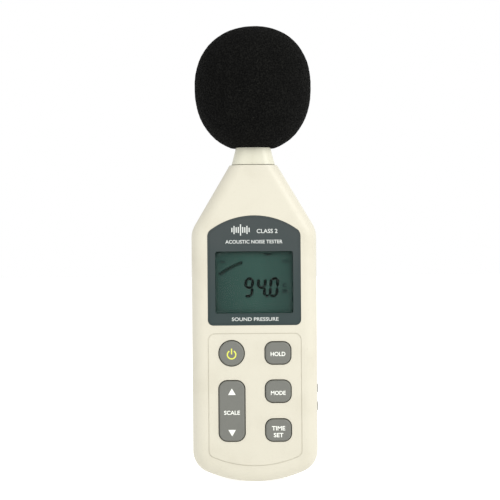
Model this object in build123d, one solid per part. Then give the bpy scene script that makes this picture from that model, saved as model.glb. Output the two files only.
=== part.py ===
"""Hand-held sound level meter with a foam windscreen, as separate pieces.

Lengths are millimetres.  Seen from the front, X runs to the right, Y runs from the
front face to the back and Z runs up.  The pieces are drawn with Z = 0 at the foot and
Y = 0 on the flat back, and are written out with the origin moved to the mouth of the
tripod thread, which is where something else holds the instrument.
"""

from build123d import *
import math
import os

# ---------------------------------------------------------------- casing
casing_width = 70.0
casing_depth = 34.0
casing_height = 177.1
taper_height = 36.5
neck_width = 26.8
foot_arc_radius = 69.0
foot_corner_radius = 13.0
shoulder_radius = 14.0
edge_radius = 7.0
back_slope_rise = 45.1
crease_radius = 60.0
wall = 2.4

tongue_thickness = 1.0
tongue_height = 1.4
tongue_clearance = 0.1
parting_groove_width = 0.3
parting_groove_depth = 0.25

# ---------------------------------------------------------------- fits
piece_clearance = 0.1
running_clearance = 0.05
glue_gap = 0.05

# ---------------------------------------------------------------- casing screws
screw_shank_radius = 1.2
screw_head_radius = 2.7
screw_head_height = 2.0
screw_head_round = 0.7
screw_recess_reach = 1.4
screw_recess_floor = 0.9
screw_length = 15.0
screw_ledge_depth = 14.0
screw_pilot_clearance = 0.05
screw_post_wall = 1.95
screw_tube_wall = 1.3
counterbore_clearance = 0.3
foot_screw_x = 18.0
foot_screw_height = 12.5
shoulder_screw_x = 25.0
shoulder_screw_drop = 1.6
neck_screw_x = 12.0
neck_screw_drop = 17.1

# ---------------------------------------------------------------- display panel and window
panel_side_margin = 9.1
panel_height = 61.1
panel_top_drop = 28.2
panel_arch_radius = 41.0
panel_top_radius = 4.5
panel_bottom_radius = 3.0
panel_thickness = 1.2
panel_rim_width = 1.2
panel_rim_drop = 0.25
window_width = 43.4
window_height = 34.6
window_base_rise = 6.6
window_radius = 1.2
window_ledge = 1.1
window_thickness = 1.0

# ---------------------------------------------------------------- liquid crystal display
lcd_gap = 0.3
lcd_glass_width = 49.0
lcd_glass_thickness = 1.1
lcd_front_height = 44.8
lcd_rear_height = 40.0
lcd_corner_radius = 0.4
lcd_frame_wall = 1.3
lcd_frame_radius = 2.0
backlight_inset = 1.5
backlight_thickness = 2.3
strip_width = 2.0
strip_length = 40.0

# ---------------------------------------------------------------- main board
board_thickness = 1.6
board_setback = 5.4
board_corner_radius = 1.0
board_side_gap = 2.6
board_base = 17.0
board_shoulder_drop = 6.2
board_tab_half = 19.0
board_top_drop = 30.1
board_screw_inset = 2.5
board_screw_heights = (24.0, 84.0)
board_screw_shank_radius = 0.85
board_screw_head_radius = 2.0
board_screw_head_height = 1.3
board_screw_head_round = 0.4
board_screw_recess_reach = 1.0
board_screw_recess_floor = 0.6
board_screw_length = 5.0
board_boss_radius = 2.4
can_edge_radius = 0.4

# ---------------------------------------------------------------- keypad
keypad_margin = 8.9
keypad_top = 83.4
keypad_foot_rise = 9.4
keypad_corner_radius = 4.0
keypad_groove_width = 0.45
keypad_groove_depth = 0.3
key_column_x = 12.9
top_row_height = 72.3
middle_row_height = 51.0
bottom_row_height = 29.4
power_key_radius = 6.95
small_key_width = 14.1
small_key_height = 12.2
small_key_corner = 4.2
level_key_width = 14.2
level_key_height = 33.5
level_key_corner = 4.6
level_key_centre = 40.2
key_gap = 0.5
key_proud = 1.0
key_top_fillet = 0.9
key_flange_width = 1.0
key_flange_thickness = 1.0
key_flange_gap = 0.4
level_flange_gap = 1.1
level_flange_thickness = 0.8
key_rear_setback = 3.0
key_travel = 1.1
pill_radius = 3.0
pill_board_gap = 0.1
level_pill_offset = 11.0
level_rock_angle = 3.0
level_pill_room = 0.15
mat_thickness = 1.0
mat_margin = 2.5
mat_hole_clearance = 0.6
web_thickness = 0.4
web_spread = 1.1
fulcrum_width = 9.0
fulcrum_height = 1.4
fulcrum_gap = 0.15

# ---------------------------------------------------------------- batteries, bay and cover
cell_radius = 7.15
cell_length = 50.5
cell_pitch_gap = 0.4
cell_nub_radius = 2.75
cell_nub_length = 1.0
cell_edge_radius = 0.5
contact_room = 2.5
contact_thickness = 0.3
contact_width = 9.0
bay_base = 19.5
bay_end_gap = 0.3
bay_wall = 1.4
bay_floor = 1.2
cell_floor_gap = 0.1
cover_thickness = 2.0
cover_gap = 0.2
cover_side_overlap = 0.65
cover_lap = 1.5
cover_corner_radius = 1.0
cover_pad_thickness = 0.6
cover_pad_gap = 0.05
hook_width = 7.0
hook_x = 8.0
hook_reach = 1.75
hook_thickness = 1.4
hook_wall_gap = 0.2
hook_swing_room = 1.0
hook_root_rise = 2.7
snap_width = 12.0
snap_thickness = 1.4
snap_depth = 4.0
grip_line_count = 5
grip_line_width = 0.8
grip_line_pitch = 1.8
grip_line_length = 16.0
grip_line_drop = 5.0
grip_line_depth = 0.35

# ---------------------------------------------------------------- tripod thread and label
tripod_rise = 16.9
insert_radius = 5.0
insert_length = 7.4
thread_radius = 2.6
boss_wall = 2.0
boss_floor = 1.5
label_rise = 12.0
label_width = 40.0
label_height = 16.0
label_thickness = 0.2
label_recess = 0.25

# ---------------------------------------------------------------- sockets and trimmer
socket_depth = 5.4
socket_width = 6.0
socket_length = 10.0
socket_axis_rise = 2.8
socket_nose_radius = 2.6
socket_nose_proud = 0.5
socket_hole_clearance = 0.15
output_bore_radius = 1.8
power_bore_radius = 1.85
socket_bore_depth = 12.0
power_pin_radius = 0.65
output_jack_height = 51.5
dc_jack_height = 41.4
trimmer_height = 62.0
trimmer_hole_radius = 1.5
trimmer_rotor_radius = 1.6
trimmer_body_side = 5.0
trimmer_body_length = 4.0
trimmer_slot_width = 0.5

# ---------------------------------------------------------------- microphone and its collar
collar_gap = 0.4
collar_height = 9.6
collar_base_width = 24.4
collar_base_radius = 6.4
collar_top_width = 19.4
collar_top_radius = 5.5
collar_rib_width = 0.9
collar_rib_proud = 0.25
collar_flange_thickness = 2.0
collar_flange_room = 0.8
spigot_step = 0.7
spigot_clearance = 0.2
barrel_radius = 6.6
barrel_wall = 0.8
barrel_rise = 26.9
barrel_foot_flange = 1.6
barrel_foot_thickness = 1.4
capsule_radius = 5.6
capsule_height = 8.5
insulator_height = 3.0
grid_height = 8.0
grid_top_thickness = 1.2
grid_edge_radius = 1.0
grid_slot_margin = 0.8
grid_slot_width = 0.9
grid_slot_pitch = 2.2
seal_height = 1.6
seal_step = 0.9
shelf_thickness = 1.5
shelf_hole_radius = 4.5

# ---------------------------------------------------------------- foam windscreen
screen_radius = 33.05
screen_semi_height = 34.4
screen_upper_power = 2.15
screen_lower_power = 2.6
screen_foot_radius = 13.4
screen_rest_gap = 0.1
screen_bore_clearance = 0.15
screen_bore_headroom = 1.5

# ---------------------------------------------------------------- connectors and wires
connector_depth = 3.4
connector_floor = 1.2
connector_wall = 0.7
connector_half = 2.6
mic_connector_drop = 4.0
battery_connector_rise = 4.5
mic_lead_radius = 1.1
mic_lead_gap = 0.3
battery_lead_radius = 0.65
battery_lead_gap = 0.65
battery_lead_x = 6.0

# ---------------------------------------------------------------- places worked out from those
half_width = casing_width / 2
shoulder_height = casing_height - taper_height
front_y = -casing_depth
inner_front_y = front_y + wall
parting_y = front_y + neck_width / 2
mic_y = parting_y
inner_side_x = half_width - wall

panel_half = half_width - panel_side_margin
panel_top = casing_height - panel_top_drop
panel_base = panel_top - panel_height
window_base = panel_base + window_base_rise
window_centre = window_base + window_height / 2

lcd_front_y = inner_front_y + lcd_gap
lcd_rear_y = lcd_front_y + 2 * lcd_glass_thickness + glue_gap
board_front_y = inner_front_y + board_setback
board_rear_y = board_front_y + board_thickness
board_half = inner_side_x - board_side_gap
board_shoulder = shoulder_height - board_shoulder_drop
board_top = casing_height - board_top_drop
board_screw_x = board_half - board_screw_inset

key_rear_y = inner_front_y + key_rear_setback
mat_front_y = board_front_y - mat_thickness
level_pill_rise = (level_pill_offset + pill_radius) * math.sin(math.radians(level_rock_angle))
level_pill_gap = level_pill_rise + level_pill_room

cell_pitch = 2 * cell_radius + cell_pitch_gap
cell_count = 4
bay_half = cell_length / 2 + contact_room
bay_top = bay_base + cell_count * cell_pitch + 2 * bay_end_gap
cell_y = -(cover_thickness + cover_pad_thickness + 2 * cover_pad_gap + cell_radius)
bay_floor_y = cell_y - cell_radius - cell_floor_gap
cover_half = bay_half - cover_side_overlap - cover_gap
cover_base = bay_base - cover_lap
cover_top = bay_top + cover_gap

mic_connector_height = board_top - mic_connector_drop
battery_connector_height = bay_top + bay_wall + battery_connector_rise

tripod_height = bay_top + tripod_rise
label_base = tripod_height + label_rise
socket_axis_y = board_rear_y + socket_axis_rise

collar_base = casing_height + collar_gap
collar_top = collar_base + collar_height
collar_flange_radius = neck_width / 2 - wall - collar_flange_room
spigot_radius = collar_flange_radius - spigot_step
collar_flange_top = casing_height - wall - piece_clearance
collar_flange_base = collar_flange_top - collar_flange_thickness
barrel_base = collar_flange_base - glue_gap - barrel_foot_thickness
seal_base = barrel_base - glue_gap - seal_height
barrel_top = collar_top + barrel_rise
barrel_bore = barrel_radius - barrel_wall
capsule_base = barrel_top - capsule_height
grid_top = barrel_top + grid_height
screen_base = collar_top + screen_rest_gap

casing_screw_places = [
    (side * x, height)
    for x, height in (
        (foot_screw_x, foot_screw_height),
        (shoulder_screw_x, shoulder_height - shoulder_screw_drop),
        (neck_screw_x, casing_height - neck_screw_drop),
    )
    for side in (-1, 1)
]
board_screw_places = [(side * board_screw_x, height) for height in board_screw_heights for side in (-1, 1)]
cell_heights = [bay_base + bay_end_gap + cell_pitch * (i + 0.5) for i in range(cell_count)]


# ---------------------------------------------------------------- drawing helpers
def front_plane(y):
    """A plane facing the front at depth y, whose own y axis points up."""
    return Plane(origin=(0, y, 0), x_dir=(1, 0, 0), z_dir=(0, -1, 0))


def slab(face, y_from, y_to):
    """A flat outline, drawn in X and Z, given thickness between two depths."""
    return extrude(front_plane(max(y_from, y_to)) * face, amount=abs(y_to - y_from))


def plate(x, height, width, tall, radius, y_from, y_to):
    """A plate with rounded corners that faces the front, centred on x and height."""
    return slab(Pos(x, height) * RectangleRounded(width, tall, radius), y_from, y_to)


def block(x_range, y_range, z_range):
    """A plain block between three pairs of coordinates."""
    size = [abs(high - low) for low, high in (x_range, y_range, z_range)]
    centre = [(high + low) / 2 for low, high in (x_range, y_range, z_range)]
    return Pos(*centre) * Box(*size)


def pin_y(x, height, radius, y_from, y_to):
    """A round pin that runs from front to back."""
    return slab(Pos(x, height) * Circle(radius), y_from, y_to)


def pin_x(y, height, radius, x_from, x_to):
    """A round pin that runs from left to right."""
    length = abs(x_to - x_from)
    return Pos((x_from + x_to) / 2, y, height) * Rot(0, 90, 0) * Cylinder(radius, length)


def ring_z(outer, inner, z_from, z_to):
    """A tube on the microphone axis; an inner radius of 0 makes it solid."""
    middle = (z_from + z_to) / 2
    tube = Pos(0, mic_y, middle) * Cylinder(outer, z_to - z_from)
    if inner:
        tube -= Pos(0, mic_y, middle) * Cylinder(inner, (z_to - z_from) * 1.2)
    return tube


def group(shapes):
    """Several separate solids written as one node."""
    return Compound([solid for shape in shapes for solid in shape.solids()])


def wire(points, bend, radius):
    """A round wire along straight runs joined by arcs."""
    path = FilletPolyline(*points, radius=bend)
    start = Plane(origin=path @ 0, z_dir=path % 0)
    return sweep(start * Circle(radius), path=path)


# ---------------------------------------------------------------- casing form
def casing_outline(inset):
    """Front outline of the casing, moved inwards by inset."""
    side_foot = foot_arc_radius - math.sqrt(foot_arc_radius**2 - half_width**2)
    with BuildSketch() as sketch:
        with BuildLine():
            ThreePointArc((-half_width, side_foot), (0, 0), (half_width, side_foot))
            Polyline(
                (half_width, side_foot),
                (half_width, shoulder_height),
                (neck_width / 2, casing_height),
                (-neck_width / 2, casing_height),
                (-half_width, shoulder_height),
                (-half_width, side_foot),
            )
        make_face()
        fillet(sketch.vertices().group_by(Axis.Y)[0], foot_corner_radius)
        shoulders = [v for v in sketch.vertices() if abs(v.Y - shoulder_height) < 1e-6]
        fillet(shoulders, shoulder_radius)
        if inset:
            offset(amount=-inset)
    return sketch.sketch


def casing_side(inset):
    """Side outline of the casing: a flat front, and a back that leans forward at the top."""
    slope_foot = casing_height - back_slope_rise
    with BuildSketch() as sketch:
        with BuildLine():
            Polyline(
                (0, 0),
                (0, slope_foot),
                (front_y + neck_width, casing_height),
                (front_y, casing_height),
                (front_y, 0),
                close=True,
            )
        make_face()
        crease = [v for v in sketch.vertices() if abs(v.Y - slope_foot) < 1e-6]
        fillet(crease, crease_radius)
        if inset:
            offset(amount=-inset)
    return sketch.sketch


def casing_form(inset=0.0):
    """The casing as a solid, moved inwards by inset, with its long edges rounded."""
    front_view = slab(casing_outline(inset), 0, front_y)
    side_view = extrude(Plane.YZ * casing_side(inset), half_width, both=True)
    form = front_view & side_view
    rounded = []
    for edge in form.edges():
        box = edge.bounding_box()
        on_top = box.min.Z > casing_height - inset - 0.01
        on_front = box.max.Y < front_y + inset + 0.01
        reaches_front = box.min.Y < front_y + inset + 0.01
        across = abs(box.max.X + box.min.X) < 0.01 and box.max.X > 1 and box.min.Z > casing_height / 2
        if on_front and not on_top:
            rounded.append(edge)
        elif not (on_top or reaches_front or across):
            rounded.append(edge)
    return fillet(rounded, edge_radius - inset)


def between(y_from, y_to):
    """Everything between two depths."""
    reach = 2 * casing_height
    return block((-reach, reach), (y_from, y_to), (-reach, reach))


def front_half(shape):
    """The part of a shape in front of the parting plane."""
    return shape & between(2 * front_y, parting_y)


def rear_half(shape):
    """The part of a shape behind the parting plane."""
    return shape & between(parting_y, -2 * front_y)


outer_form = casing_form()
inner_form = casing_form(wall)
hollow = outer_form - inner_form
parting_band = between(parting_y - parting_groove_width / 2, parting_y + parting_groove_width / 2)
parting_groove = (outer_form - casing_form(parting_groove_depth)) & parting_band


def keypad_outline(inset):
    """Outline of the shallow line round the keypad, moved inwards by inset."""
    half = half_width - keypad_margin
    radius = foot_arc_radius - keypad_foot_rise
    side_foot = foot_arc_radius - math.sqrt(radius**2 - half**2)
    with BuildSketch() as sketch:
        with BuildLine():
            ThreePointArc((-half, side_foot), (0, keypad_foot_rise), (half, side_foot))
            Polyline((half, side_foot), (half, keypad_top), (-half, keypad_top), (-half, side_foot))
        make_face()
        fillet(sketch.vertices(), keypad_corner_radius)
        if inset:
            offset(amount=-inset)
    return sketch.sketch


def panel_outline(inset):
    """Outline of the display panel: a rectangle under a wide arch."""
    arch_foot = panel_top - panel_arch_radius + math.sqrt(panel_arch_radius**2 - panel_half**2)
    with BuildSketch() as sketch:
        with BuildLine():
            ThreePointArc((-panel_half, arch_foot), (0, panel_top), (panel_half, arch_foot))
            Polyline(
                (panel_half, arch_foot),
                (panel_half, panel_base),
                (-panel_half, panel_base),
                (-panel_half, arch_foot),
            )
        make_face()
        fillet(sketch.vertices().group_by(Axis.Y)[0], panel_bottom_radius)
        fillet(sketch.vertices().group_by(Axis.Y)[-1], panel_top_radius)
        if inset:
            offset(amount=-inset)
    return sketch.sketch


# ---------------------------------------------------------------- keys
small_key_places = {
    "power_key": (-key_column_x, top_row_height),
    "max_key": (key_column_x, top_row_height),
    "weighting_key": (key_column_x, middle_row_height),
    "response_key": (key_column_x, bottom_row_height),
}


def key_face(name, grow):
    """Outline of one key's top, made larger by grow all round."""
    if name == "power_key":
        return Circle(power_key_radius + grow)
    if name == "level_key":
        width, tall, corner = level_key_width, level_key_height, level_key_corner
    else:
        width, tall, corner = small_key_width, small_key_height, small_key_corner
    return RectangleRounded(width + 2 * grow, tall + 2 * grow, corner + grow)


def key_solid(name, x, height, flange_gap, flange_thickness):
    """A key with its top proud of the casing and a flange that keeps it in."""
    top_y = front_y - key_proud
    cap = slab(Pos(x, height) * key_face(name, 0), top_y, key_rear_y)
    cap = fillet(cap.faces().sort_by(Axis.Y)[0].edges(), key_top_fillet)
    flange_y = inner_front_y + flange_gap
    flange = slab(Pos(x, height) * key_face(name, key_flange_width), flange_y, flange_y + flange_thickness)
    return cap + flange


def key_hole(name, x, height):
    """The opening that a key stands in."""
    return slab(Pos(x, height) * key_face(name, key_gap), front_y - 1, inner_front_y + 1)


# ---------------------------------------------------------------- shells
def screw_post_front(x, height):
    """A blind post in the front shell for one casing screw."""
    radius = screw_shank_radius + screw_post_wall
    return pin_y(x, height, radius, inner_front_y - wall / 2, parting_y)


def screw_tube_rear(x, height):
    """A tube in the rear shell that a casing screw drops into."""
    radius = screw_head_radius + counterbore_clearance + screw_tube_wall
    return pin_y(x, height, radius, parting_y, 0)


def side_holes(reach_in):
    """Round holes through the right wall for the two sockets and the trimmer."""
    nose = socket_nose_radius + socket_hole_clearance
    x_range = (inner_side_x - reach_in, half_width + 1)
    return [
        pin_x(socket_axis_y, output_jack_height, nose, *x_range),
        pin_x(socket_axis_y, dc_jack_height, nose, *x_range),
        pin_x(socket_axis_y, trimmer_height, trimmer_hole_radius, *x_range),
    ]


def neck_hole():
    """The round hole in the top wall that the collar's spigot passes through."""
    return ring_z(spigot_radius + spigot_clearance, 0, casing_height - wall - 1, casing_height + 1)


def barrel_shelf():
    """A shelf across the neck that holds the seal up against the barrel's foot."""
    shelf_top = seal_base - glue_gap
    shelf = inner_form & block(
        (-half_width, half_width), (front_y, 0), (shelf_top - shelf_thickness, shelf_top)
    )
    hole = ring_z(shelf_hole_radius, 0, seal_base - 2 * shelf_thickness, seal_base + 1)
    return shelf - hole


def front_shell():
    """Front half of the casing with its openings, posts and the tongue round its edge."""
    shell = front_half(hollow)
    tongue = casing_form(wall - tongue_thickness) - inner_form
    shell += tongue & between(parting_y - 0.5, parting_y + tongue_height)
    shell += front_half(barrel_shelf())
    for x, height in casing_screw_places:
        shell += screw_post_front(x, height) & outer_form
    for x, height in board_screw_places:
        shell += pin_y(x, height, board_boss_radius, inner_front_y - wall / 2, board_front_y) & outer_form
    shell -= slab(panel_outline(-piece_clearance), front_y - 1, front_y + panel_thickness + glue_gap)
    shell -= plate(
        0,
        window_centre,
        window_width + 2 * (window_ledge + piece_clearance),
        window_height + 2 * (window_ledge + piece_clearance),
        window_radius + window_ledge,
        front_y,
        inner_front_y + 1,
    )
    keypad_line = keypad_outline(0) - keypad_outline(keypad_groove_width)
    shell -= slab(keypad_line, front_y - 1, front_y + keypad_groove_depth)
    for name, (x, height) in small_key_places.items():
        shell -= key_hole(name, x, height)
    shell -= key_hole("level_key", -key_column_x, level_key_centre)
    pilot = screw_shank_radius + screw_pilot_clearance
    screw_tip_y = -screw_ledge_depth - screw_length
    for x, height in casing_screw_places:
        shell -= pin_y(x, height, pilot, screw_tip_y - 0.4, parting_y + 1)
    board_pilot = board_screw_shank_radius + screw_pilot_clearance
    board_tip_y = board_rear_y - board_screw_length
    for x, height in board_screw_places:
        shell -= pin_y(x, height, board_pilot, board_tip_y - 0.3, board_front_y + 1)
    for hole in side_holes(2.0):
        shell -= hole
    shell -= neck_hole()
    shell -= parting_groove
    return shell


def rear_shell():
    """Rear half of the casing with the battery bay, screw tubes and the tripod boss."""
    shell = rear_half(hollow)
    bay = block(
        (-bay_half - bay_wall, bay_half + bay_wall),
        (bay_floor_y - bay_floor, 0),
        (bay_base - bay_wall, bay_top + bay_wall),
    )
    shell += bay & outer_form
    for x, height in casing_screw_places:
        shell += screw_tube_rear(x, height) & outer_form
    boss_radius = insert_radius + boss_wall
    shell += pin_y(0, tripod_height, boss_radius, -insert_length - boss_floor, -wall / 2)
    shell += rear_half(barrel_shelf())
    rebate = casing_form(wall - tongue_thickness - tongue_clearance) - inner_form
    shell -= rebate & between(parting_y - 1, parting_y + tongue_height + tongue_clearance)
    shell -= block((-bay_half, bay_half), (bay_floor_y, -wall), (bay_base, bay_top))
    opening_half = cover_half + cover_gap
    shell -= block(
        (-opening_half, opening_half), (-wall - 0.5, 1), (cover_base - cover_gap / 2, cover_top)
    )
    notch_depth = wall + hook_wall_gap + hook_thickness + hook_swing_room
    for side in (-1, 1):
        x = side * hook_x
        half = hook_width / 2 + 2 * cover_gap
        shell -= block((x - half, x + half), (-notch_depth, -wall), (cover_base - hook_reach, bay_base + 1))
    for x, height in casing_screw_places:
        shell -= pin_y(x, height, screw_shank_radius + 0.4, parting_y - 1, 0)
        shell -= pin_y(x, height, screw_head_radius + counterbore_clearance, -screw_ledge_depth, 1)
    shell -= pin_y(0, tripod_height, insert_radius + 0.02, -insert_length - glue_gap, 1)
    shell -= plate(
        0,
        label_base + label_height / 2,
        label_width + 2 * piece_clearance,
        label_height + 2 * piece_clearance,
        1.5,
        -label_recess,
        1,
    )
    for hole in side_holes(2.0):
        shell -= hole
    shell -= neck_hole()
    shell -= parting_groove
    for x in (-battery_lead_x, battery_lead_x):
        hole_radius = battery_lead_radius + 0.25
        shell -= pin_y(x, cell_heights[-1], hole_radius, bay_floor_y - bay_floor - 1, bay_floor_y + 1)
    return shell


# ---------------------------------------------------------------- front fittings
def display_panel():
    """The dark panel round the window: a plate whose rim is a small step lower."""
    back_y = front_y + panel_thickness
    panel = slab(panel_outline(0), front_y + panel_rim_drop, back_y)
    panel += slab(panel_outline(panel_rim_width), front_y, back_y)
    panel -= plate(0, window_centre, window_width, window_height, window_radius, front_y - 1, back_y + 1)
    return panel


def display_window():
    """Clear window glued into the shell behind the panel's opening."""
    width = window_width + 2 * window_ledge
    tall = window_height + 2 * window_ledge
    radius = window_radius + window_ledge - piece_clearance
    start_y = front_y + panel_thickness + 2 * glue_gap
    return plate(0, window_centre, width, tall, radius, start_y, start_y + window_thickness)


def lcd_front_glass():
    """Front glass of the display, with a contact ledge above and below."""
    end_y = lcd_front_y + lcd_glass_thickness
    return plate(0, window_centre, lcd_glass_width, lcd_front_height, lcd_corner_radius, lcd_front_y, end_y)


def lcd_rear_glass():
    """Rear glass of the display, shorter than the front glass by its two ledges."""
    start_y = lcd_front_y + lcd_glass_thickness + glue_gap
    end_y = start_y + lcd_glass_thickness
    return plate(0, window_centre, lcd_glass_width, lcd_rear_height, lcd_corner_radius, start_y, end_y)


def backlight_panel():
    """Diffuser block behind the display with its light bar on one side."""
    start_y = lcd_rear_y + glue_gap
    width = lcd_glass_width - 2 * backlight_inset
    tall = lcd_rear_height - 2 * 0.6
    return plate(0, window_centre, width, tall, 0.8, start_y, start_y + backlight_thickness)


def lcd_frame():
    """Plastic frame that holds the display square on the board."""
    inner_width = lcd_glass_width + 2 * 0.2
    inner_tall = lcd_front_height + 2 * 0.2
    start_y = inner_front_y + lcd_gap / 2
    frame = plate(
        0,
        window_centre,
        inner_width + 2 * lcd_frame_wall,
        inner_tall + 2 * lcd_frame_wall,
        lcd_frame_radius,
        start_y,
        board_front_y - glue_gap,
    )
    return frame - plate(0, window_centre, inner_width, inner_tall, 0.5, start_y - 1, board_front_y + 1)


def elastomer_strips():
    """Two rubber strips that carry the display's contacts to the board."""
    start_y = lcd_front_y + lcd_glass_thickness + glue_gap
    end_y = board_front_y - glue_gap
    half = strip_length / 2
    ledge_centre = (lcd_front_height + lcd_rear_height) / 4
    strips = []
    for side in (-1, 1):
        z = window_centre + side * ledge_centre
        strips.append(block((-half, half), (start_y, end_y), (z - strip_width / 2, z + strip_width / 2)))
    return group(strips)


# ---------------------------------------------------------------- board and what is on it
def main_board():
    """Circuit board with a narrow tab at the top for the microphone connector."""
    with BuildSketch() as sketch:
        with BuildLine():
            Polyline(
                (-board_half, board_base),
                (board_half, board_base),
                (board_half, board_shoulder),
                (board_tab_half, board_shoulder),
                (board_tab_half, board_top),
                (-board_tab_half, board_top),
                (-board_tab_half, board_shoulder),
                (-board_half, board_shoulder),
                close=True,
            )
        make_face()
        fillet(sketch.vertices(), board_corner_radius)
        with Locations(*[Location((x, height)) for x, height in board_screw_places]):
            Circle(board_screw_shank_radius + 0.35, mode=Mode.SUBTRACT)
    return slab(sketch.sketch, board_front_y, board_rear_y)


def chip(x, height, width, tall, thick, pins):
    """A flat chip on the back of the board, with a row of legs along two sides."""
    body_y = board_rear_y + 0.15
    low = height - tall / 2
    solid = block((x - width / 2, x + width / 2), (body_y, body_y + thick), (low, low + tall))
    solid = chamfer(solid.faces().sort_by(Axis.Y)[-1].edges(), 0.2)
    pitch = tall / pins
    for i in range(pins):
        z = low + pitch * (i + 0.5)
        reach = width / 2 + 0.8
        solid += block((x - reach, x + reach), (board_rear_y, body_y + 0.25), (z - pitch / 5, z + pitch / 5))
    return solid


def microcontroller():
    """The main chip, with legs on all four sides."""
    height = window_centre
    side_legs = chip(0, height, 10, 10, 1.4, 9)
    for i in range(9):
        x = -5 + 10 / 9 * (i + 0.5)
        side_legs += block(
            (x - 0.22, x + 0.22), (board_rear_y, board_rear_y + 0.4), (height - 5.8, height + 5.8)
        )
    return side_legs


def analog_chips():
    """Amplifier, detector and converter chips."""
    places = [(-19, window_centre + 14), (-19, window_centre), (17, window_centre - 16)]
    return group(chip(x, height, 4.2, 5.2, 1.4, 4) for x, height in places)


def electrolytic_capacitors():
    """Three round capacitors that stand on the back of the board."""
    cans = []
    for x, rise, radius, tall in ((16, 14, 3.2, 7), (9, 15, 2.5, 5.5), (-16, -23, 3.2, 5)):
        can = pin_y(x, window_centre + rise, radius, board_rear_y, board_rear_y + tall)
        cans.append(fillet(can.faces().sort_by(Axis.Y)[-1].edges(), can_edge_radius))
    return group(cans)


def smd_parts():
    """Small surface-mounted resistors and capacitors, in short rows."""
    pieces = []
    for start_x, rise, count in ((-11, -20, 4), (-10, -16.6, 4), (-12, 11.8, 3), (-11, 15.2, 3)):
        for i in range(count):
            x = start_x + 7 * i
            z = window_centre + rise
            pieces.append(block((x - 1, x + 1), (board_rear_y, board_rear_y + 0.8), (z - 0.6, z + 0.6)))
    return group(pieces)


def crystal():
    """The clock crystal in its flat can."""
    return plate(12.5, window_centre - 4, 4.4, 10.5, 2.1, board_rear_y, board_rear_y + 3.4)


def plug_connector(height, width):
    """A small open-topped connector shell, centred on the board's width."""
    half = width / 2
    top_y = board_rear_y + connector_depth
    inner = half - connector_wall
    shell = block((-half, half), (board_rear_y, top_y), (height - connector_half, height + connector_half))
    return shell - block(
        (-inner, inner),
        (board_rear_y + connector_floor, top_y + 1),
        (height - connector_half + connector_wall, height + connector_half - connector_wall),
    )


def mic_connector():
    """Connector on the board's tab for the microphone lead."""
    return plug_connector(mic_connector_height, 7)


def battery_connector():
    """Connector for the two battery leads, just above the battery bay."""
    return plug_connector(battery_connector_height, 2 * battery_lead_x + 4)


def side_socket(height, bore_radius):
    """A socket body on the board whose round nose passes through the casing's side."""
    body_end = inner_side_x - 0.3
    body = block(
        (body_end - socket_length, body_end),
        (board_rear_y, board_rear_y + socket_depth),
        (height - socket_width / 2, height + socket_width / 2),
    )
    nose_end = half_width + socket_nose_proud
    nose = pin_x(socket_axis_y, height, socket_nose_radius, body_end - 1, nose_end)
    nose = chamfer(nose.faces().sort_by(Axis.X)[-1].edges(), 0.2)
    socket = body + nose
    return socket - pin_x(socket_axis_y, height, bore_radius, nose_end - socket_bore_depth, nose_end + 1)


def output_jack():
    """Signal output socket."""
    return side_socket(output_jack_height, output_bore_radius)


def dc_jack():
    """External power socket with its centre pin."""
    socket = side_socket(dc_jack_height, power_bore_radius)
    nose_end = half_width + socket_nose_proud
    pin_start = nose_end - socket_bore_depth - 0.5
    pin = pin_x(socket_axis_y, dc_jack_height, power_pin_radius, pin_start, nose_end - 2)
    return socket + pin


trimmer_body_end = inner_side_x - 1.6


def trimmer_body():
    """Body of the calibration trimmer, with a round well for its rotor."""
    half = trimmer_body_side / 2
    body = block(
        (trimmer_body_end - trimmer_body_length, trimmer_body_end),
        (board_rear_y, board_rear_y + socket_axis_rise + half - 0.2),
        (trimmer_height - half, trimmer_height + half),
    )
    well = trimmer_rotor_radius + running_clearance
    return body - pin_x(socket_axis_y, trimmer_height, well, trimmer_body_end - 2.5, trimmer_body_end + 1)


def trimmer_rotor():
    """The trimmer's turning part, with a screwdriver slot that faces the access hole."""
    end = trimmer_body_end + 0.8
    rotor = pin_x(socket_axis_y, trimmer_height, trimmer_rotor_radius, trimmer_body_end - 2.4, end)
    slot = trimmer_slot_width / 2
    slot_across = (socket_axis_y - 3, socket_axis_y + 3)
    return rotor - block((end - 0.7, end + 1), slot_across, (trimmer_height - slot, trimmer_height + slot))


# ---------------------------------------------------------------- keypad parts
web_outer = pill_radius + mat_hole_clearance + web_spread
level_pill_heights = [level_key_centre + side * level_pill_offset for side in (-1, 1)]
pill_places = list(small_key_places.values()) + [(-key_column_x, height) for height in level_pill_heights]


def keypad_mat():
    """Rubber sheet under the keys, holed for the contact pills, with the rocker's fulcrum."""
    low = bottom_row_height - small_key_height / 2 - mat_margin
    high = top_row_height + power_key_radius + mat_margin
    half = key_column_x + level_key_width / 2 + mat_margin
    mat = plate(0, (low + high) / 2, 2 * half, high - low, 2.0, mat_front_y, board_front_y)
    for x, height in pill_places:
        mat -= pin_y(x, height, pill_radius + mat_hole_clearance, mat_front_y - 1, board_front_y + 1)
    mat += block(
        (-key_column_x - fulcrum_width / 2, -key_column_x + fulcrum_width / 2),
        (key_rear_y + fulcrum_gap, mat_front_y + 0.2),
        (level_key_centre - fulcrum_height / 2, level_key_centre + fulcrum_height / 2),
    )
    return mat


def keypad_webs():
    """Thin rubber cones between the mat and the keys, which fold as a key goes down."""
    small = pill_radius + 0.3
    webs = []
    for x, height in pill_places:
        place = Plane(origin=(x, mat_front_y, height), x_dir=(1, 0, 0), z_dir=(0, -1, 0))
        tall = mat_front_y - key_rear_y
        outer = Pos(0, 0, tall / 2) * Cone(web_outer, small + web_thickness, tall)
        inner = Pos(0, 0, tall / 2) * Cone(web_outer - web_thickness, small, tall)
        webs.append(place * (outer - inner))
    return group(webs)


def small_key(name):
    """One push key."""
    x, height = small_key_places[name]
    return key_solid(name, x, height, key_flange_gap, key_flange_thickness)


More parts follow.
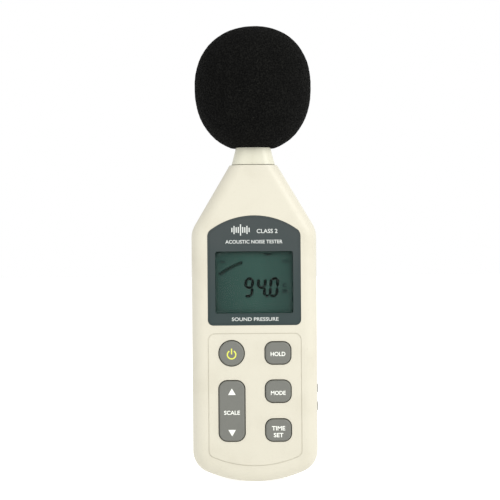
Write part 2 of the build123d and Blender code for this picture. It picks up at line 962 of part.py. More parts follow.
def small_key_pill(name):
    """Conductive pill that the key presses onto the board."""
    x, height = small_key_places[name]
    end_y = board_front_y - key_travel - pill_board_gap
    return pin_y(x, height, pill_radius, key_rear_y, end_y)


def level_key():
    """The tall rocker key."""
    return key_solid("level_key", -key_column_x, level_key_centre, level_flange_gap, level_flange_thickness)


def level_key_pills():
    """The rocker's two conductive pills."""
    x = -key_column_x
    end_y = board_front_y - level_pill_gap
    return group(pin_y(x, height, pill_radius, key_rear_y, end_y) for height in level_pill_heights)


# ---------------------------------------------------------------- batteries
def battery_cells():
    """Four cylindrical cells that lie across the casing, alternately turned."""
    cells = []
    for i, height in enumerate(cell_heights):
        side = 1 if i % 2 else -1
        body_end = side * (cell_length / 2 - cell_nub_length)
        body = pin_x(cell_y, height, cell_radius, -side * cell_length / 2, body_end)
        body = fillet(body.edges(), cell_edge_radius)
        body += pin_x(cell_y, height, cell_nub_radius, body_end - side * 0.5, side * cell_length / 2)
        cells.append(body)
    return group(cells)


def contact_plate(height, side, tall):
    """A flat contact plate against an end wall of the bay."""
    end = side * (bay_half - piece_clearance)
    near = end - side * contact_thickness
    half = contact_width / 2
    x_range = (min(end, near), max(end, near))
    return block(x_range, (cell_y - half, cell_y + half), (height - tall / 2, height + tall / 2))


def battery_contact_plates():
    """Contact plates at both ends; pairs of cells share a plate."""
    low, second, third, high = cell_heights
    plates = [
        contact_plate((second + third) / 2, 1, cell_pitch + contact_width),
        contact_plate(low, 1, contact_width),
        contact_plate(high, 1, contact_width),
        contact_plate((low + second) / 2, -1, cell_pitch + contact_width),
        contact_plate((third + high) / 2, -1, cell_pitch + contact_width),
    ]
    return group(plates)


def battery_springs():
    """Bowed leaf springs that press on the flat end of each cell."""
    springs = []
    for i, height in enumerate(cell_heights):
        side = 1 if i % 2 == 0 else -1
        wall_x = side * (bay_half - piece_clearance - contact_thickness - glue_gap)
        tip_x = side * (cell_length / 2 + glue_gap)
        with BuildSketch(Plane.XZ) as profile:
            with BuildLine():
                ThreePointArc((wall_x, height - 4), (tip_x, height), (wall_x, height + 4))
                Line((wall_x, height + 4), (wall_x, height + 3.6))
                ThreePointArc(
                    (wall_x, height + 3.6), (tip_x + side * contact_thickness, height), (wall_x, height - 3.6)
                )
                Line((wall_x, height - 3.6), (wall_x, height - 4))
            make_face()
        leaf = extrude(profile.sketch, amount=2.5, both=True)
        springs.append(Pos(0, cell_y, 0) * leaf)
    return group(springs)


def battery_lead(side):
    """One lead from the bay's end contact to the connector on the board."""
    x = side * battery_lead_x
    start = (x, bay_floor_y + 0.05, cell_heights[-1])
    level_y = bay_floor_y - bay_floor - battery_lead_radius - battery_lead_gap
    foot = (x, level_y, cell_heights[-1])
    corner = (x, level_y, battery_connector_height)
    end = (x, board_rear_y + connector_floor + glue_gap, battery_connector_height)
    return wire([start, foot, corner, end], 1.2, battery_lead_radius)


def battery_cover():
    """Battery cover with two hooks at its foot, a snap tab at its top and grip lines."""
    cover = block((-cover_half, cover_half), (-cover_thickness, 0), (cover_base, cover_top - cover_gap))
    upright = cover.edges().filter_by(Axis.Y)
    cover = fillet(upright, cover_corner_radius)
    hook_back = -wall - hook_wall_gap
    hook_front = hook_back - hook_thickness
    root_y = -cover_thickness + 0.5
    hook_base = cover_base - hook_reach
    hook_top = bay_base + hook_root_rise
    for side in (-1, 1):
        x = side * hook_x
        x_range = (x - hook_width / 2, x + hook_width / 2)
        cover += block(x_range, (hook_front, hook_back), (hook_base, hook_top))
        cover += block(x_range, (hook_front, root_y), (bay_base + 0.5, hook_top))
    snap_top = bay_top - cover_gap - 0.3
    half = snap_width / 2
    cover += block((-half, half), (-snap_depth, root_y), (snap_top - snap_thickness, snap_top))
    half = grip_line_length / 2
    for i in range(grip_line_count):
        z = cover_top - grip_line_drop - grip_line_pitch * i
        groove = (z - grip_line_width / 2, z + grip_line_width / 2)
        cover -= block((-half, half), (-grip_line_depth, 1), groove)
    return cover


def battery_cover_pad():
    """Foam strip inside the cover that keeps the cells quiet."""
    low = cell_heights[0] - 2
    high = cell_heights[-1] + 2
    start_y = -cover_thickness - glue_gap
    return plate(0, (low + high) / 2, 22, high - low, 1.5, start_y, start_y - cover_pad_thickness)


# ---------------------------------------------------------------- fasteners, insert and label
def cross_recess(x, height, reach, y_from, y_to):
    """The cross-shaped recess in a screw's head."""
    slot = reach / 5
    return block((x - reach, x + reach), (y_from, y_to), (height - slot, height + slot)) + block(
        (x - slot, x + slot), (y_from, y_to), (height - reach, height + reach)
    )


def casing_screws():
    """Six cross-head screws that join the shells from behind."""
    ledge_y = -screw_ledge_depth
    screws = []
    for x, height in casing_screw_places:
        head = pin_y(x, height, screw_head_radius, ledge_y, ledge_y + screw_head_height)
        head = fillet(head.faces().sort_by(Axis.Y)[-1].edges(), screw_head_round)
        screw = head + pin_y(x, height, screw_shank_radius, ledge_y - screw_length, ledge_y + 0.5)
        recess_y = ledge_y + screw_recess_floor
        screws.append(screw - cross_recess(x, height, screw_recess_reach, recess_y, 0))
    return group(screws)


def board_screws():
    """Four small screws that hold the board to the front shell."""
    screws = []
    for x, height in board_screw_places:
        head = pin_y(x, height, board_screw_head_radius, board_rear_y, board_rear_y + board_screw_head_height)
        head = fillet(head.faces().sort_by(Axis.Y)[-1].edges(), board_screw_head_round)
        shank_end = board_rear_y - board_screw_length
        screw = head + pin_y(x, height, board_screw_shank_radius, shank_end, board_rear_y + 0.5)
        recess_y = board_rear_y + board_screw_recess_floor
        screws.append(screw - cross_recess(x, height, board_screw_recess_reach, recess_y, recess_y + 3))
    return group(screws)


def tripod_insert():
    """Brass tripod insert; its thread is drawn as a plain bore at the minor diameter."""
    insert = pin_y(0, tripod_height, insert_radius, -insert_length, 0)
    return insert - pin_y(0, tripod_height, thread_radius, -insert_length - 1, 1)


def rating_label():
    """Plain label in a shallow recess on the back."""
    outer_y = -label_recess + glue_gap / 5
    return plate(
        0, label_base + label_height / 2, label_width, label_height, 1.4, outer_y, outer_y + label_thickness
    )


# ---------------------------------------------------------------- microphone end
def neck_collar():
    """Tapered square collar between the casing and the windscreen, held by an inner flange."""
    sections = []
    for height, width, radius in (
        (collar_base, collar_base_width, collar_base_radius),
        (collar_top, collar_top_width, collar_top_radius),
    ):
        sections.append(Plane(origin=(0, mic_y, height)) * RectangleRounded(width, width, radius))
    collar = loft(sections)
    with BuildSketch(Plane.YZ) as rib:
        with BuildLine():
            Polyline(
                (mic_y - collar_base_width / 2 - collar_rib_proud, collar_base),
                (mic_y - collar_top_width / 2 - collar_rib_proud, collar_top),
                (mic_y - collar_top_width / 2 + 1, collar_top),
                (mic_y - collar_base_width / 2 + 1, collar_base),
                close=True,
            )
        make_face()
    collar += extrude(rib.sketch, collar_rib_width / 2, both=True)
    collar += ring_z(spigot_radius, 0, collar_flange_top - 0.5, collar_base + 0.5)
    collar += ring_z(collar_flange_radius, 0, collar_flange_base, collar_flange_top)
    return collar - ring_z(barrel_radius + running_clearance, 0, collar_flange_base - 1, collar_top + 1)


def mic_barrel():
    """Metal tube that carries the microphone, flanged at its foot."""
    barrel = ring_z(barrel_radius, 0, barrel_base, barrel_top)
    barrel += ring_z(barrel_radius + barrel_foot_flange, 0, barrel_base, barrel_base + barrel_foot_thickness)
    return barrel - ring_z(barrel_bore, 0, barrel_base - 1, barrel_top + 1)


def mic_capsule():
    """The half-inch microphone capsule, seated in the end of the barrel."""
    capsule = ring_z(capsule_radius, 0, capsule_base, barrel_top - 0.2)
    return capsule - ring_z(capsule_radius - 0.8, 0, barrel_top - 0.9, barrel_top)


def mic_insulator():
    """Insulating disc behind the capsule with a hole for the lead."""
    top = capsule_base - glue_gap
    return ring_z(barrel_bore - piece_clearance, mic_lead_radius + 0.1, top - insulator_height, top)


def mic_grid():
    """Protection grid: a cap with parallel slots over the capsule."""
    cap = ring_z(barrel_radius, 0, barrel_top + glue_gap, grid_top)
    cap = fillet(cap.faces().sort_by(Axis.Z)[-1].edges(), grid_edge_radius)
    cap -= ring_z(barrel_bore, 0, barrel_top - 1, grid_top - grid_top_thickness)
    for i in (-2, -1, 0, 1, 2):
        x = i * grid_slot_pitch
        reach = math.sqrt(max(barrel_bore**2 - x**2, 1.0)) - grid_slot_margin
        cap -= block(
            (x - grid_slot_width / 2, x + grid_slot_width / 2),
            (mic_y - reach, mic_y + reach),
            (grid_top - grid_top_thickness - 1, grid_top + 1),
        )
    return cap


def barrel_seal():
    """Rubber ring between the barrel's foot and the shelf under it."""
    radius = barrel_radius + seal_step
    return ring_z(radius, barrel_bore, seal_base, barrel_base - glue_gap)


def mic_lead():
    """Screened lead from the microphone down to its connector on the board."""
    lead_y = board_rear_y + connector_depth + mic_lead_gap + mic_lead_radius
    points = [
        (0, mic_y, capsule_base - glue_gap),
        (0, mic_y, barrel_base - 6),
        (0, lead_y, mic_connector_height + 9),
        (0, lead_y, mic_connector_height),
        (0, board_rear_y + connector_floor + glue_gap, mic_connector_height),
    ]
    return wire(points, 1.6, mic_lead_radius)


def windscreen():
    """Foam ball: a full round form with a flat foot and a blind bore for the microphone."""
    centre = screen_base + screen_semi_height

    def edge_point(turn):
        power = screen_upper_power if turn >= 0 else screen_lower_power
        radius = screen_radius * abs(math.cos(turn)) ** (2 / power)
        rise = screen_semi_height * math.copysign(abs(math.sin(turn)) ** (2 / power), turn)
        return radius, centre + rise

    lower = [edge_point(math.radians(-66 + 12 * i)) for i in range(6)] + [(screen_radius, centre)]
    upper = [(screen_radius, centre)] + [edge_point(math.radians(12 * i)) for i in range(1, 8)]
    upper[-1] = (0, centre + screen_semi_height)
    bore = barrel_radius + screen_bore_clearance
    bore_top = grid_top + screen_bore_headroom
    with BuildSketch(Plane.XZ) as profile:
        with BuildLine():
            Line((bore, bore_top), (bore, screen_base))
            Line((bore, screen_base), (screen_foot_radius, screen_base))
            Spline((screen_foot_radius, screen_base), *lower, tangents=[(1, 0.6), (0, 1)])
            Spline(*upper, tangents=[(0, 1), (-1, 0)])
            Line(upper[-1], (0, bore_top))
            Line((0, bore_top), (bore, bore_top))
        make_face()
    ball = revolve(profile.sketch, Axis.Z)
    return Pos(0, mic_y, 0) * ball


# ---------------------------------------------------------------- build and write
nodes = {
    "front_shell": front_shell(),
    "rear_shell": rear_shell(),
    "neck_collar": neck_collar(),
    "display_panel": display_panel(),
    "display_window": display_window(),
    "lcd_front_glass": lcd_front_glass(),
    "lcd_rear_glass": lcd_rear_glass(),
    "backlight_panel": backlight_panel(),
    "lcd_frame": lcd_frame(),
    "elastomer_strips": elastomer_strips(),
    "main_board": main_board(),
    "microcontroller": microcontroller(),
    "analog_chips": analog_chips(),
    "electrolytic_capacitors": electrolytic_capacitors(),
    "smd_parts": smd_parts(),
    "crystal": crystal(),
    "mic_connector": mic_connector(),
    "battery_connector": battery_connector(),
    "output_jack": output_jack(),
    "dc_jack": dc_jack(),
    "trimmer_body": trimmer_body(),
    "trimmer_rotor": trimmer_rotor(),
    "keypad_mat": keypad_mat(),
    "keypad_webs": keypad_webs(),
    "level_key": level_key(),
    "level_key_pills": level_key_pills(),
    "battery_cells": battery_cells(),
    "battery_contact_plates": battery_contact_plates(),
    "battery_springs": battery_springs(),
    "battery_lead_red": battery_lead(-1),
    "battery_lead_black": battery_lead(1),
    "battery_cover": battery_cover(),
    "battery_cover_pad": battery_cover_pad(),
    "casing_screws": casing_screws(),
    "board_screws": board_screws(),
    "tripod_insert": tripod_insert(),
    "rating_label": rating_label(),
    "mic_barrel": mic_barrel(),
    "mic_capsule": mic_capsule(),
    "mic_insulator": mic_insulator(),
    "mic_grid": mic_grid(),
    "barrel_seal": barrel_seal(),
    "mic_lead": mic_lead(),
    "windscreen": windscreen(),
}
for key_name in small_key_places:
    nodes[key_name] = small_key(key_name)
    nodes[key_name + "_pill"] = small_key_pill(key_name)

os.makedirs("parts", exist_ok=True)
for node, shape in nodes.items():
    placed = Pos(0, 0, -tripod_height) * shape
    export_step(placed, f"parts/{node}.step")
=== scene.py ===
"""Looks of a hand-held sound level meter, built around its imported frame.

The frame holds every rigid piece at its real size and place. This script gives each of them its finish,
makes the foam windscreen, the foam pad, the display's characters and the printed legends, and sets up a
plain studio. Lengths are in metres; sizes written in millimetres are multiplied by MM.
"""
import logging
import math
from abc import ABC, abstractmethod
from dataclasses import dataclass, field
from enum import Enum
from typing import Any, Callable, ClassVar, Sequence, Union

import bmesh
import bpy
from mathutils import Matrix, Vector


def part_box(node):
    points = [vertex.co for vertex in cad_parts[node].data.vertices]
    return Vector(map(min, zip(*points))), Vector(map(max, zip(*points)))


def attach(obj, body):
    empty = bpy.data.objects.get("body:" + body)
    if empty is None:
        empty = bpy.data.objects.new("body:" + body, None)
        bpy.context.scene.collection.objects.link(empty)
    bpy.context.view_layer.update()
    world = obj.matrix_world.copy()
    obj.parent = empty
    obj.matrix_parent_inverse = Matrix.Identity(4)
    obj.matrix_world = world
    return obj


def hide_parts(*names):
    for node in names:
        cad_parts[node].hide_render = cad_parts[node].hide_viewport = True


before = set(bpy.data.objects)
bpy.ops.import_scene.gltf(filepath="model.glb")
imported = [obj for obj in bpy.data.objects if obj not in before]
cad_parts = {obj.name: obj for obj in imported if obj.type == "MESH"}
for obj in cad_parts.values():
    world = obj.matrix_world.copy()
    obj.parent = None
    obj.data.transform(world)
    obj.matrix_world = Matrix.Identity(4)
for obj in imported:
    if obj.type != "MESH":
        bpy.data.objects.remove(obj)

LOG = logging.getLogger("sound_level_meter")
MM = 0.001
INK_PROUD = 0.03 * MM
INK_SUNK = 0.02 * MM

Colour = tuple[float, float, float]
Point = tuple[float, float]
Outline = list[Point]
Number = Union["Value", float]


def srgb(red: int, green: int, blue: int) -> Colour:
    """Turn a display colour into a linear one.

    Args:
        red: Red channel, 0 to 255.
        green: Green channel, 0 to 255.
        blue: Blue channel, 0 to 255.

    Returns:
        The three linear channels, 0 to 1.
    """

    def linear(channel: int) -> float:
        """Linear value of one channel."""
        share = channel / 255
        return share / 12.92 if share <= 0.04045 else ((share + 0.055) / 1.055) ** 2.4

    return linear(red), linear(green), linear(blue)


class Body(str, Enum):
    """The bodies of the frame that new pieces ride on."""

    CASING = "casing"
    WINDSCREEN = "windscreen"
    COVER = "battery_cover"
    POWER = "power_key"
    MAX = "max_key"
    LEVEL = "level_key"
    WEIGHTING = "weighting_key"
    RESPONSE = "response_key"


class Slot(str, Enum):
    """The record's material slots."""

    CASING = "casing_plastic"
    COLLAR = "collar_plastic"
    PANEL = "panel_plastic"
    WINDOW = "window_acrylic"
    GLASS = "display_glass"
    BACKLIGHT = "backlight_diffuser"
    WHITE = "moulded_white"
    STRIP = "strip_rubber"
    BOARD = "board_laminate"
    CHIP = "chip_resin"
    CAPACITOR = "capacitor_can"
    CRYSTAL = "crystal_can"
    SOCKET = "socket_plastic"
    TRIMMER = "trimmer_plastic"
    ROTOR = "trimmer_brass"
    MAT = "keypad_rubber"
    KEY = "key_plastic"
    PILL = "pill_carbon"
    CELL = "cell_jacket"
    CONTACT = "contact_steel"
    RED_LEAD = "lead_red"
    BLACK_LEAD = "lead_black"
    GREY_LEAD = "lead_grey"
    PAD = "pad_foam"
    SCREW = "screw_steel"
    INSERT = "insert_brass"
    LABEL = "label_film"
    BARREL = "barrel_metal"
    CAPSULE = "capsule_metal"
    SEAL = "seal_rubber"
    FOAM = "windscreen_foam"


class Facing(Enum):
    """The way a printed mark faces: the axes that its width, height and thickness run along."""

    FRONT = ((1, 0, 0), (0, 0, 1), (0, -1, 0))
    BACK = ((-1, 0, 0), (0, 0, 1), (0, 1, 0))
    RIGHT = ((0, 1, 0), (0, 0, 1), (1, 0, 0))

    def matrix(self) -> Matrix:
        """Rotation from flat drawing axes to this facing."""
        return Matrix(self.value).transposed().to_4x4()


# ---------------------------------------------------------------- node trees


def _operator(operation: str, swapped: bool = False) -> Callable[..., "Value"]:
    """Make a method of Value that adds a Math node.

    Args:
        operation: The node's operation.
        swapped: Whether the value itself comes last.

    Returns:
        The method.
    """

    def method(value: "Value", *others: Number) -> "Value":
        """Add the node and wrap its output."""
        numbers = (*others, value) if swapped else (value, *others)
        node = value.tree.node("ShaderNodeMath", {"operation": operation}, dict(enumerate(numbers)))
        return Value(value.tree, node.outputs[0])

    return method


class Value:
    """A number inside a node tree. Arithmetic on it adds Math nodes."""

    def __init__(self, tree: "NodeTree", socket: bpy.types.NodeSocket) -> None:
        """Wrap one output socket of the tree."""
        self.tree = tree
        self.socket = socket

    __add__ = __radd__ = _operator("ADD")
    __mul__ = __rmul__ = _operator("MULTIPLY")
    __sub__ = _operator("SUBTRACT")
    __rsub__ = _operator("SUBTRACT", swapped=True)
    __truediv__ = _operator("DIVIDE")
    __rtruediv__ = _operator("DIVIDE", swapped=True)
    __abs__ = _operator("ABSOLUTE")
    cosine = _operator("COSINE")
    sine = _operator("SINE")
    at_least = _operator("MAXIMUM")

    def smooth(self, low: float, high: float) -> "Value":
        """Ease from 0 at low to 1 at high.

        Args:
            low: Number that gives 0.
            high: Number that gives 1.

        Returns:
            The eased share.
        """
        node = self.tree.node(
            "ShaderNodeMapRange",
            {"interpolation_type": "SMOOTHSTEP"},
            {"Value": self, "From Min": low, "From Max": high},
        )
        return Value(self.tree, node.outputs["Result"])


class NodeTree:
    """Short calls for adding nodes to a shader or geometry tree."""

    def __init__(self, tree: bpy.types.NodeTree) -> None:
        """Start from an empty tree."""
        self.tree = tree
        self.tree.nodes.clear()

    def node(
        self, kind: str, settings: dict[str, Any] | None = None, inputs: dict[Any, Any] | None = None
    ) -> bpy.types.Node:
        """Add a node.

        Args:
            kind: The node's type.
            settings: Properties to set first; "stops" sets a colour ramp's stops.
            inputs: Numbers, colours, vectors or links, by socket name, identifier or place.

        Returns:
            The new node.
        """
        node = self.tree.nodes.new(kind)
        for key, value in (settings or {}).items():
            if key == "stops":
                self._set_stops(node.color_ramp, value)
            else:
                setattr(node, key, value)
        for key, value in (inputs or {}).items():
            self._feed(self._find(node.inputs, key), value)
        return node

    @staticmethod
    def _set_stops(ramp: bpy.types.ColorRamp, stops: Sequence[tuple[float, Colour]]) -> None:
        """Give a colour ramp its stops, from position and colour pairs."""
        while len(ramp.elements) < len(stops):
            ramp.elements.new(1.0)
        for element, (position, colour) in zip(ramp.elements, stops):
            element.position = position
            element.color = (*colour, 1.0)

    @staticmethod
    def _find(sockets: Any, key: Any) -> bpy.types.NodeSocket:
        """Find a socket by its place, identifier or name."""
        if isinstance(key, int):
            return sockets[key]
        known = {socket.identifier: socket for socket in sockets}
        return known[key] if key in known else sockets[key]

    def _feed(self, socket: bpy.types.NodeSocket, value: Any) -> None:
        """Link a socket, or set the value that it holds."""
        if isinstance(value, Value):
            value = value.socket
        if isinstance(value, bpy.types.NodeSocket):
            self.tree.links.new(value, socket)
        elif socket.type == "RGBA":
            socket.default_value = (*value, 1.0)
        else:
            socket.default_value = value

    def parts(self, vector: Any) -> tuple[Value, Value, Value]:
        """The three numbers of a vector."""
        node = self.node("ShaderNodeSeparateXYZ", inputs={0: vector})
        x, y, z = (Value(self, socket) for socket in node.outputs)
        return x, y, z

    def vector(self, x: Number, y: Number, z: Number) -> bpy.types.NodeSocket:
        """A vector from three numbers."""
        return self.node("ShaderNodeCombineXYZ", inputs={0: x, 1: y, 2: z}).outputs[0]

    def noise(self, place: Any, size: float, detail: float = 2.0, rough: float = 0.5) -> Value:
        """Soft noise.

        Args:
            place: Where to read it.
            size: Size of its largest features, in metres.
            detail: Number of finer layers.
            rough: Strength of the finer layers.

        Returns:
            A number around one half.
        """
        inputs = {"Vector": place, "Scale": 1 / size, "Detail": detail, "Roughness": rough}
        return Value(self, self.node("ShaderNodeTexNoise", inputs=inputs).outputs[0])

    def cells(self, place: Any, size: float, feature: str = "F1") -> Value:
        """Distance to scattered points.

        Args:
            place: Where to read it.
            size: Spacing of the points, in metres.
            feature: Which distance the pattern gives.

        Returns:
            The distance, as a share of the spacing.
        """
        inputs = {"Vector": place, "Scale": 1 / size}
        node = self.node("ShaderNodeTexVoronoi", {"feature": feature}, inputs)
        return Value(self, node.outputs["Distance"])


class Shader(NodeTree):
    """One material and the node tree behind it."""

    def __init__(self, name: str) -> None:
        """Make an empty material."""
        self.material = bpy.data.materials.new(name)
        self.material.use_nodes = True
        super().__init__(self.material.node_tree)

    def position(self, stretch: Colour = (1, 1, 1)) -> bpy.types.NodeSocket:
        """Place on the piece, in metres.

        Args:
            stretch: Factors along X, Y and Z; a small one draws a pattern out along that axis.

        Returns:
            The vector socket.
        """
        place = self.node("ShaderNodeTexCoord").outputs["Object"]
        if stretch == (1, 1, 1):
            return place
        return self.node("ShaderNodeMapping", inputs={"Vector": place, "Scale": stretch}).outputs[0]

    def mix(self, share: Number, first: Any, second: Any) -> bpy.types.NodeSocket:
        """Blend two colours.

        Args:
            share: 0 gives the first, 1 the second.
            first: A colour or a link.
            second: A colour or a link.

        Returns:
            The blended colour.
        """
        inputs = {"Factor_Float": share, "A_Color": first, "B_Color": second}
        node = self.node("ShaderNodeMix", {"data_type": "RGBA", "clamp_factor": True}, inputs)
        return self._find(node.outputs, "Result_Color")

    def bump(self, height: Number, depth: float) -> bpy.types.NodeSocket:
        """Relief on the surface.

        Args:
            height: Height pattern, 0 to 1.
            depth: Relief of the pattern, in metres.

        Returns:
            The bent normal.
        """
        inputs = {"Height": height, "Distance": depth, "Strength": 1.0}
        return self.node("ShaderNodeBump", inputs=inputs).outputs["Normal"]

    def surface(self, **inputs: Any) -> bpy.types.Material:
        """End the tree in a Principled surface.

        Args:
            inputs: Its inputs, with spaces written as underscores.

        Returns:
            The finished material.
        """
        named = {key.replace("_", " "): value for key, value in inputs.items()}
        shader = self.node("ShaderNodeBsdfPrincipled", inputs=named)
        self.node("ShaderNodeOutputMaterial", inputs={"Surface": shader.outputs[0]})
        return self.material


class GeometryTree(NodeTree):
    """A Geometry Nodes group with named sizes, run once on a carrier object."""

    def __init__(self, name: str, sizes: dict[str, float]) -> None:
        """Make an empty group.

        Args:
            name: The group's name.
            sizes: Its named inputs and their values.
        """
        self.group = bpy.data.node_groups.new(name, "GeometryNodeTree")
        self.sizes = sizes
        for direction in ("INPUT", "OUTPUT"):
            self.group.interface.new_socket("Geometry", in_out=direction, socket_type="NodeSocketGeometry")
        for label in sizes:
            self.group.interface.new_socket(label, in_out="INPUT", socket_type="NodeSocketFloat")
        super().__init__(self.group)
        self.start = self.node("NodeGroupInput")

    def size(self, label: str) -> Value:
        """One of the group's named inputs."""
        return Value(self, self.start.outputs[label])

    def read(self, kind: str) -> bpy.types.NodeSocket:
        """First output of an input node such as Position, Normal or Index."""
        return self.node(kind).outputs[0]

    def cubes(self, count: int, size: Any, place: Any, **fields: Any) -> bpy.types.NodeSocket:
        """Set out copies of a cube.

        Args:
            count: Number of copies.
            size: The cube's size.
            place: Where each copy goes, as a field.
            fields: Their Rotation or Scale.

        Returns:
            The copies.
        """
        line = self.node("GeometryNodeMeshLine", {"mode": "OFFSET"}, {"Count": count})
        points = self.node("GeometryNodeSetPosition", inputs={"Geometry": line.outputs[0], "Position": place})
        cube = self.node("GeometryNodeMeshCube", inputs={"Size": size})
        inputs = {"Points": points.outputs[0], "Instance": cube.outputs[0], **fields}
        return self.node("GeometryNodeInstanceOnPoints", inputs=inputs).outputs[0]

    def finish(self, geometry: Any, material: bpy.types.Material) -> None:
        """End the tree in Realize Instances and Set Material.

        Args:
            geometry: The geometry to put out.
            material: Its material.
        """
        real = self.node("GeometryNodeRealizeInstances", inputs={"Geometry": geometry}).outputs[0]
        inputs = {"Geometry": real, "Material": material}
        dressed = self.node("GeometryNodeSetMaterial", inputs=inputs).outputs[0]
        self.node("NodeGroupOutput", inputs={"Geometry": dressed})

    def run(self, carrier: bpy.types.Object) -> bpy.types.Object:
        """Run the tree on an object and keep the result as its plain mesh.

        Args:
            carrier: The object that goes in.

        Returns:
            The same object with its new mesh and no modifier.
        """
        modifier = carrier.modifiers.new(self.group.name, "NODES")
        modifier.node_group = self.group
        for item in self.group.interface.items_tree:
            if item.in_out == "INPUT" and item.name in self.sizes:
                modifier[item.identifier] = float(self.sizes[item.name])
        slots = freeze(carrier).data.materials
        for place in reversed(range(len(slots))):
            if slots[place] is None:
                slots.pop(index=place)
        return carrier


# ---------------------------------------------------------------- meshes


def freeze(piece: bpy.types.Object) -> bpy.types.Object:
    """Replace an object's mesh by its evaluated one and drop its modifiers.

    Args:
        piece: The object to freeze.

    Returns:
        The same object.
    """
    bpy.context.view_layer.update()
    evaluated = piece.evaluated_get(bpy.context.evaluated_depsgraph_get())
    mesh = bpy.data.meshes.new_from_object(evaluated)
    piece.modifiers.clear()
    piece.data = mesh
    mesh.name = piece.name
    return piece


def new_piece(
    name: str, mesh: bpy.types.Mesh | None = None, material: bpy.types.Material | None = None
) -> bpy.types.Object:
    """Link a mesh object at the origin.

    Args:
        name: The piece's name.
        mesh: Its mesh; an empty one if left out.
        material: Its only material.

    Returns:
        The new object.
    """
    piece = bpy.data.objects.new(name, mesh or bpy.data.meshes.new(name))
    bpy.context.scene.collection.objects.link(piece)
    if material is not None:
        piece.data.materials.clear()
        piece.data.materials.append(material)
    return piece


def closed_mesh(form: bmesh.types.BMesh, name: str, smooth: bool = False) -> bpy.types.Mesh:
    """Merge doubles, turn faces outwards and write a mesh.

    Args:
        form: The faces so far; it is freed.
        name: The mesh's name.
        smooth: Whether its faces are shaded smooth.

    Returns:
        The mesh.
    """
    bmesh.ops.remove_doubles(form, verts=form.verts, dist=0.002 * MM)
    bmesh.ops.recalc_face_normals(form, faces=form.faces)
    for face in form.faces:
        face.smooth = smooth
    mesh = bpy.data.meshes.new(name)
    form.to_mesh(mesh)
    form.free()
    return mesh


@dataclass
class Relief:
    """Flat outlines given a hair of thickness, such as printed marks and display segments.

    Attributes:
        facing: The way the marks face.
        level: The face's place along its own outward axis.
        proud: How far the marks stand above that face.
        outlines: The outlines so far.
    """

    facing: Facing
    level: float
    proud: float = INK_PROUD
    outlines: list[Outline] = field(default_factory=list)

    def add(self, *outlines: Outline) -> "Relief":
        """Take more outlines, drawn in the face's width and height."""
        self.outlines.extend(outlines)
        return self

    def mesh(self, name: str) -> bpy.types.Mesh:
        """Build one closed prism for each outline.

        Args:
            name: The mesh's name.

        Returns:
            The mesh, in place.
        """
        form = bmesh.new()
        turn = self.facing.matrix()
        heights = (self.level - INK_SUNK, self.level + self.proud)
        for outline in self.outlines:
            rings = [[form.verts.new(turn @ Vector((x, y, z))) for x, y in outline] for z in heights]
            form.faces.new(rings[0])
            form.faces.new(rings[1])
            count = len(outline)
            for i in range(count):
                j = (i + 1) % count
                form.faces.new((rings[0][i], rings[0][j], rings[1][j], rings[1][i]))
        return closed_mesh(form, name)


@dataclass
class Lettering:
    """One printed word.

    Attributes:
        text: The word.
        centre: Its centre, in the face's width and height.
        width: Its width over all.
        height: Height of its capitals.
        weight: How much each stroke is thickened, as a share of the letter size.
    """

    text: str
    centre: Point
    width: float
    height: float
    weight: float = 0.0

    def mesh(self, facing: Facing, level: float) -> bpy.types.Mesh:
        """Draw the word on a face.

        Args:
            facing: The way the face looks.
            level: The face's place along its own outward axis.

        Returns:
            A closed mesh, in place.
        """
        curve = bpy.data.curves.new(self.text, "FONT")
        curve.body = self.text
        curve.extrude = 0.5
        curve.offset = self.weight
        curve.resolution_u = 4
        carrier = bpy.data.objects.new("lettering", curve)
        bpy.context.scene.collection.objects.link(carrier)
        bpy.context.view_layer.update()
        flat = bpy.data.meshes.new_from_object(carrier.evaluated_get(bpy.context.evaluated_depsgraph_get()))
        bpy.data.objects.remove(carrier)
        form = bmesh.new()
        form.from_mesh(flat)
        bpy.data.meshes.remove(flat)
        low = Vector(min(vert.co[i] for vert in form.verts) for i in range(3))
        high = Vector(max(vert.co[i] for vert in form.verts) for i in range(3))
        middle, spread = (low + high) / 2, high - low
        turn = facing.matrix()
        for vert in form.verts:
            x = self.centre[0] + (vert.co.x - middle.x) / spread.x * self.width
            y = self.centre[1] + (vert.co.y - middle.y) / spread.y * self.height
            z = level + (INK_PROUD if vert.co.z > 0 else -INK_SUNK)
            vert.co = turn @ Vector((x, y, z))
        return closed_mesh(form, self.text)


def joined(meshes: Sequence[bpy.types.Mesh], name: str) -> bpy.types.Mesh:
    """Join meshes into one.

    Args:
        meshes: The meshes, which are used up.
        name: The new mesh's name.

    Returns:
        The joined mesh.
    """
    form = bmesh.new()
    for mesh in meshes:
        form.from_mesh(mesh)
        bpy.data.meshes.remove(mesh)
    whole = bpy.data.meshes.new(name)
    form.to_mesh(whole)
    form.free()
    return whole


def rectangle(centre: Point, width: float, height: float) -> Outline:
    """Corners of an upright rectangle."""
    (x, y), half, tall = centre, width / 2, height / 2
    return [(x - half, y - tall), (x + half, y - tall), (x + half, y + tall), (x - half, y + tall)]


def ring_arc(centre: Point, radius: float, width: float, gap: float, steps: int = 28) -> Outline:
    """Outline of a ring that is open at its top.

    Args:
        centre: The ring's centre.
        radius: Radius of its middle line.
        width: Width of its line.
        gap: Half angle of the opening, in radians.
        steps: Number of points along each edge.

    Returns:
        The outline.
    """
    angles = [math.pi / 2 + gap + (math.tau - 2 * gap) * i / steps for i in range(steps + 1)]
    outer = [(radius + width / 2, angle) for angle in angles]
    inner = [(radius - width / 2, angle) for angle in reversed(angles)]
    return [(centre[0] + r * math.cos(a), centre[1] + r * math.sin(a)) for r, a in outer + inner]


def centre_of(node: str) -> Vector:
    """Middle of a frame node's box."""
    low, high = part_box(node)
    return (low + high) / 2


# ---------------------------------------------------------------- finishes


